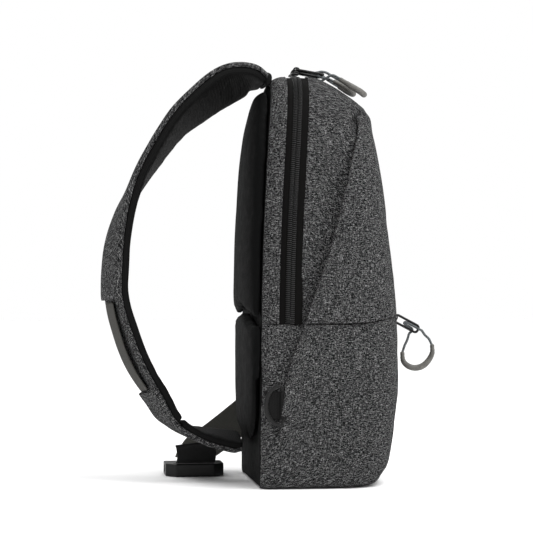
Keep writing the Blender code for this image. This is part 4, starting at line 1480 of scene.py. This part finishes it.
TAB_Z = (67.3, 67.6, 68.4, 70.5, 74.0, 80.5, 87.0, 90.5, 92.6, 93.4, 93.7)
TAB_PLAN = (
    (-53.0, 95.4), (-50.0, 95.6), (-46.0, 95.7), (-41.5, 95.9), (-38.0, 96.1), (-35.0, 96.3),
    (-33.6, 97.0), (-33.2, 98.4), (-33.7, 99.9), (-35.0, 100.7), (-37.0, 100.6), (-38.4, 99.9),
)


def make_tab(name, side):
    """Webbing sewn flat to the side, folded round the ring's bar and sewn down behind it."""
    plan = smooth_line([(px, py, 0.0) for px, py in TAB_PLAN], 40)
    rows = []
    for z in TAB_Z:
        edge = 0.105 if z in (TAB_Z[0], TAB_Z[-1]) else 0.0
        rows.append([(px, side * (py + edge), z) for px, py, _ in plan])
    grid = np.array(rows).transpose(1, 0, 2)
    cloth(f"tab_{name}", grid, 1.1, BLACK_WEB, "root", f"side_tab_{name}", rounded=False,
          offset=0.0)


make_ring("near", -1, "ring_near")
make_ring("far", 1, "root")
for name, side in SIDES:
    make_tab(name, side)

# The strap's top end is caught in a folded strip of webbing.
ANCHOR = ((-43.6, 390.2), (-40.4, 390.6), (-38.0, 393.6), (-37.2, 397.4), (-38.0, 400.6),
          (-40.4, 402.4), (-43.0, 402.2), (-44.2, 397.0), (-43.6, 390.2))
line = smooth_line([(px, 0.0, pz) for px, pz in ANCHOR], 31)[:-1]
rows = []
for y in (-22.3, -21.8, -20.8, -17.0, -9.0, 0.0, 9.0, 17.0, 20.8, 21.8, 22.3):
    share = 0.8 if abs(y) > 22 else 1.0
    middle = np.array((-40.0, y, 397.0))
    rows.append([middle + (point - middle) * (share, 0.0, share) for point in line])
anchor = grid_object("anchor_web", np.array(rows), closed=True, caps=True)
done(anchor, BLACK_WEB, "root", "strap_anchor")


# ---- sliders


def main_slider(name, side):
    """A slider body with its waist and the raised bridge that holds the pull's frame."""
    centre_x, centre_y, body = -13.0, side * 7.4, f"slider_{name}"
    rings = []
    for z, share, waist in ((401.25, 0.9, 0.86), (401.7, 1.0, 0.86), (402.7, 0.98, 0.84),
                            (403.5, 0.86, 0.84), (403.8, 0.7, 0.84)):
        ring = []
        for t in circle(28):
            px = 4.5 * share * power(math.cos(t), 0.7)
            py = 6.1 * share * power(math.sin(t), 0.6)
            px *= waist + (1 - waist) * min(1.0, abs(py) / 5.0) ** 2
            ring.append((centre_x + px, centre_y + py, z))
        rings.append(ring)
    done(faceted_block(f"slider_body_{name}", rings, 0.2), METAL, body, f"main_slider_{name}")
    bar = pull_axes(name)[0] + pull_axes(name)[1] * FRAME_BAR
    foot = 403.0 - bar[2]
    arch = [bar + (u, 0.0, w) for u, w in (
        (-3.4, foot), (-3.1, -0.6), (-1.9, 1.5), (0.0, 2.1), (1.9, 1.5), (3.0, -0.6), (3.2, foot))]
    done(tube(f"slider_bridge_{name}", smooth_line(arch, 30), 0.9), METAL, body)


for name, side in SIDES:
    main_slider(name, side)

# The front pocket's slider, and the chain it runs on, in the level seam across the front.
rings = []
for x, share in ((84.5, 0.95), (84.9, 1.0), (85.9, 0.96), (86.5, 0.84), (86.7, 0.66)):
    rings.append([(x, 5.9 * share * power(math.cos(t), 0.65),
                   161.0 + 4.1 * share * power(math.sin(t), 0.65)) for t in circle(28)])
done(faceted_block("slider_body_pocket", rings, 0.2), METAL, "slider_pocket", "pocket_slider")
arch = [(86.0, 0.0, 164.2), (88.4, 0.0, 164.3), (90.8, 0.0, 163.6), (91.9, 0.0, 161.2),
        (90.8, 0.0, 158.6), (88.4, 0.0, 157.8), (86.0, 0.0, 157.9)]
done(tube("slider_bridge_pocket", smooth_line(arch, 30), 0.75), METAL, "slider_pocket")


def outward(line):
    """Unit normals on the right of a level line."""
    ahead = unit(np.gradient(line, axis=0))
    return np.stack([ahead[:, 1], -ahead[:, 0]], axis=1)


def front_line(inset, start, step):
    """Even points in the level seam, set in from the cloth, from x = start round the front."""
    outline = near_outline(162.0, -18.0)
    outline = outline[outline[:, 0] > start]
    whole = np.concatenate([outline, outline[-2::-1] * (1, -1)])
    whole = whole - outward(whole) * inset
    points = along_line(whole, np.arange(0, lengths(whole)[-1], step))
    return points, outward(points)


CHAIN_STEP = 0.4
CHAIN_PITCH = 1.6
CHAIN_SECTION = ((-1.9, 0.0), (-1.2, 0.7), (-0.3, 0.8), (0.3, 0.8), (1.2, 0.7), (1.9, 0.0))
points, normals = front_line(1.5, 62.0, CHAIN_STEP)
rows = []
for i, ((x, y), (nx, ny)) in enumerate(zip(points, normals)):
    tooth = 0.5 + 0.5 * math.tanh(2.2 * math.cos(2 * math.pi * i * CHAIN_STEP / CHAIN_PITCH))
    rows.append([(x + nx * out * tooth, y + ny * out * tooth, seam_z(x) + up)
                 for up, out in CHAIN_SECTION])
cloth("pocket_chain", np.array(rows), 0.5, COIL, "root", rounded=False)
points, normals = front_line(2.3, 55.0, 2.5)
rows = [[(x, y, seam_z(x) + up) for up in (-6.5, -3.5, 0.0, 3.5, 6.5)] for x, y in points]
cloth("pocket_tape", np.array(rows), 0.5, TAPE, "root", rounded=False)


# ---- buckle


for node in ("buckle_male", "buckle_arm_left", "buckle_arm_right"):
    obj = frame["nodes"][node]
    coat(obj, PLASTIC)
    modify(obj, "BEVEL", width=0.45 * MM, segments=3, limit_method="ANGLE",
           angle_limit=math.radians(30))
    modify(obj, "WEIGHTED_NORMAL", keep_sharp=True)
    obj.data.shade_smooth()

# The socket half again, with the soft edges that moulding leaves.
socket = link("buckle_socket", frame["nodes"]["buckle_female"].data.copy())
modify(socket, "REMESH", mode="VOXEL", voxel_size=0.6 * MM)
modify(socket, "SMOOTH", factor=0.5, iterations=14)
bake(socket).data.shade_smooth()
done(socket, PLASTIC, "root", "buckle_female")


# ---- inside the bag

for node in ("back_board", "base_board"):
    coat(frame["nodes"][node], BOARD)


def inner_sheet(node, x, half, low, high, depth, seed):
    """A lining sheet that hangs a little slack between its seams."""
    rows = []
    for z in np.linspace(low, high, 30):
        up = 1.0 - ((z - (low + high) / 2) / ((high - low) / 2)) ** 2
        row = []
        for y in np.linspace(-half, half, 30):
            slack = (depth + 0.8 * wrinkle(0.0, y, z, 30.0, seed)) * (1.0 - (y / half) ** 2) * up
            row.append((x + slack, y, z))
        rows.append(row)
    sheet = cloth(f"{node}_cloth", np.array(rows), 0.8, LINING, "root", node, rounded=False,
                  offset=0.0)


inner_sheet("pocket_wall", 50.6, 70.0, 7.0, 152.0, 1.2, 2.0)
inner_sheet("sleeve_pocket", -43.9, 62.0, 30.0, 210.0, 1.4, 6.0)
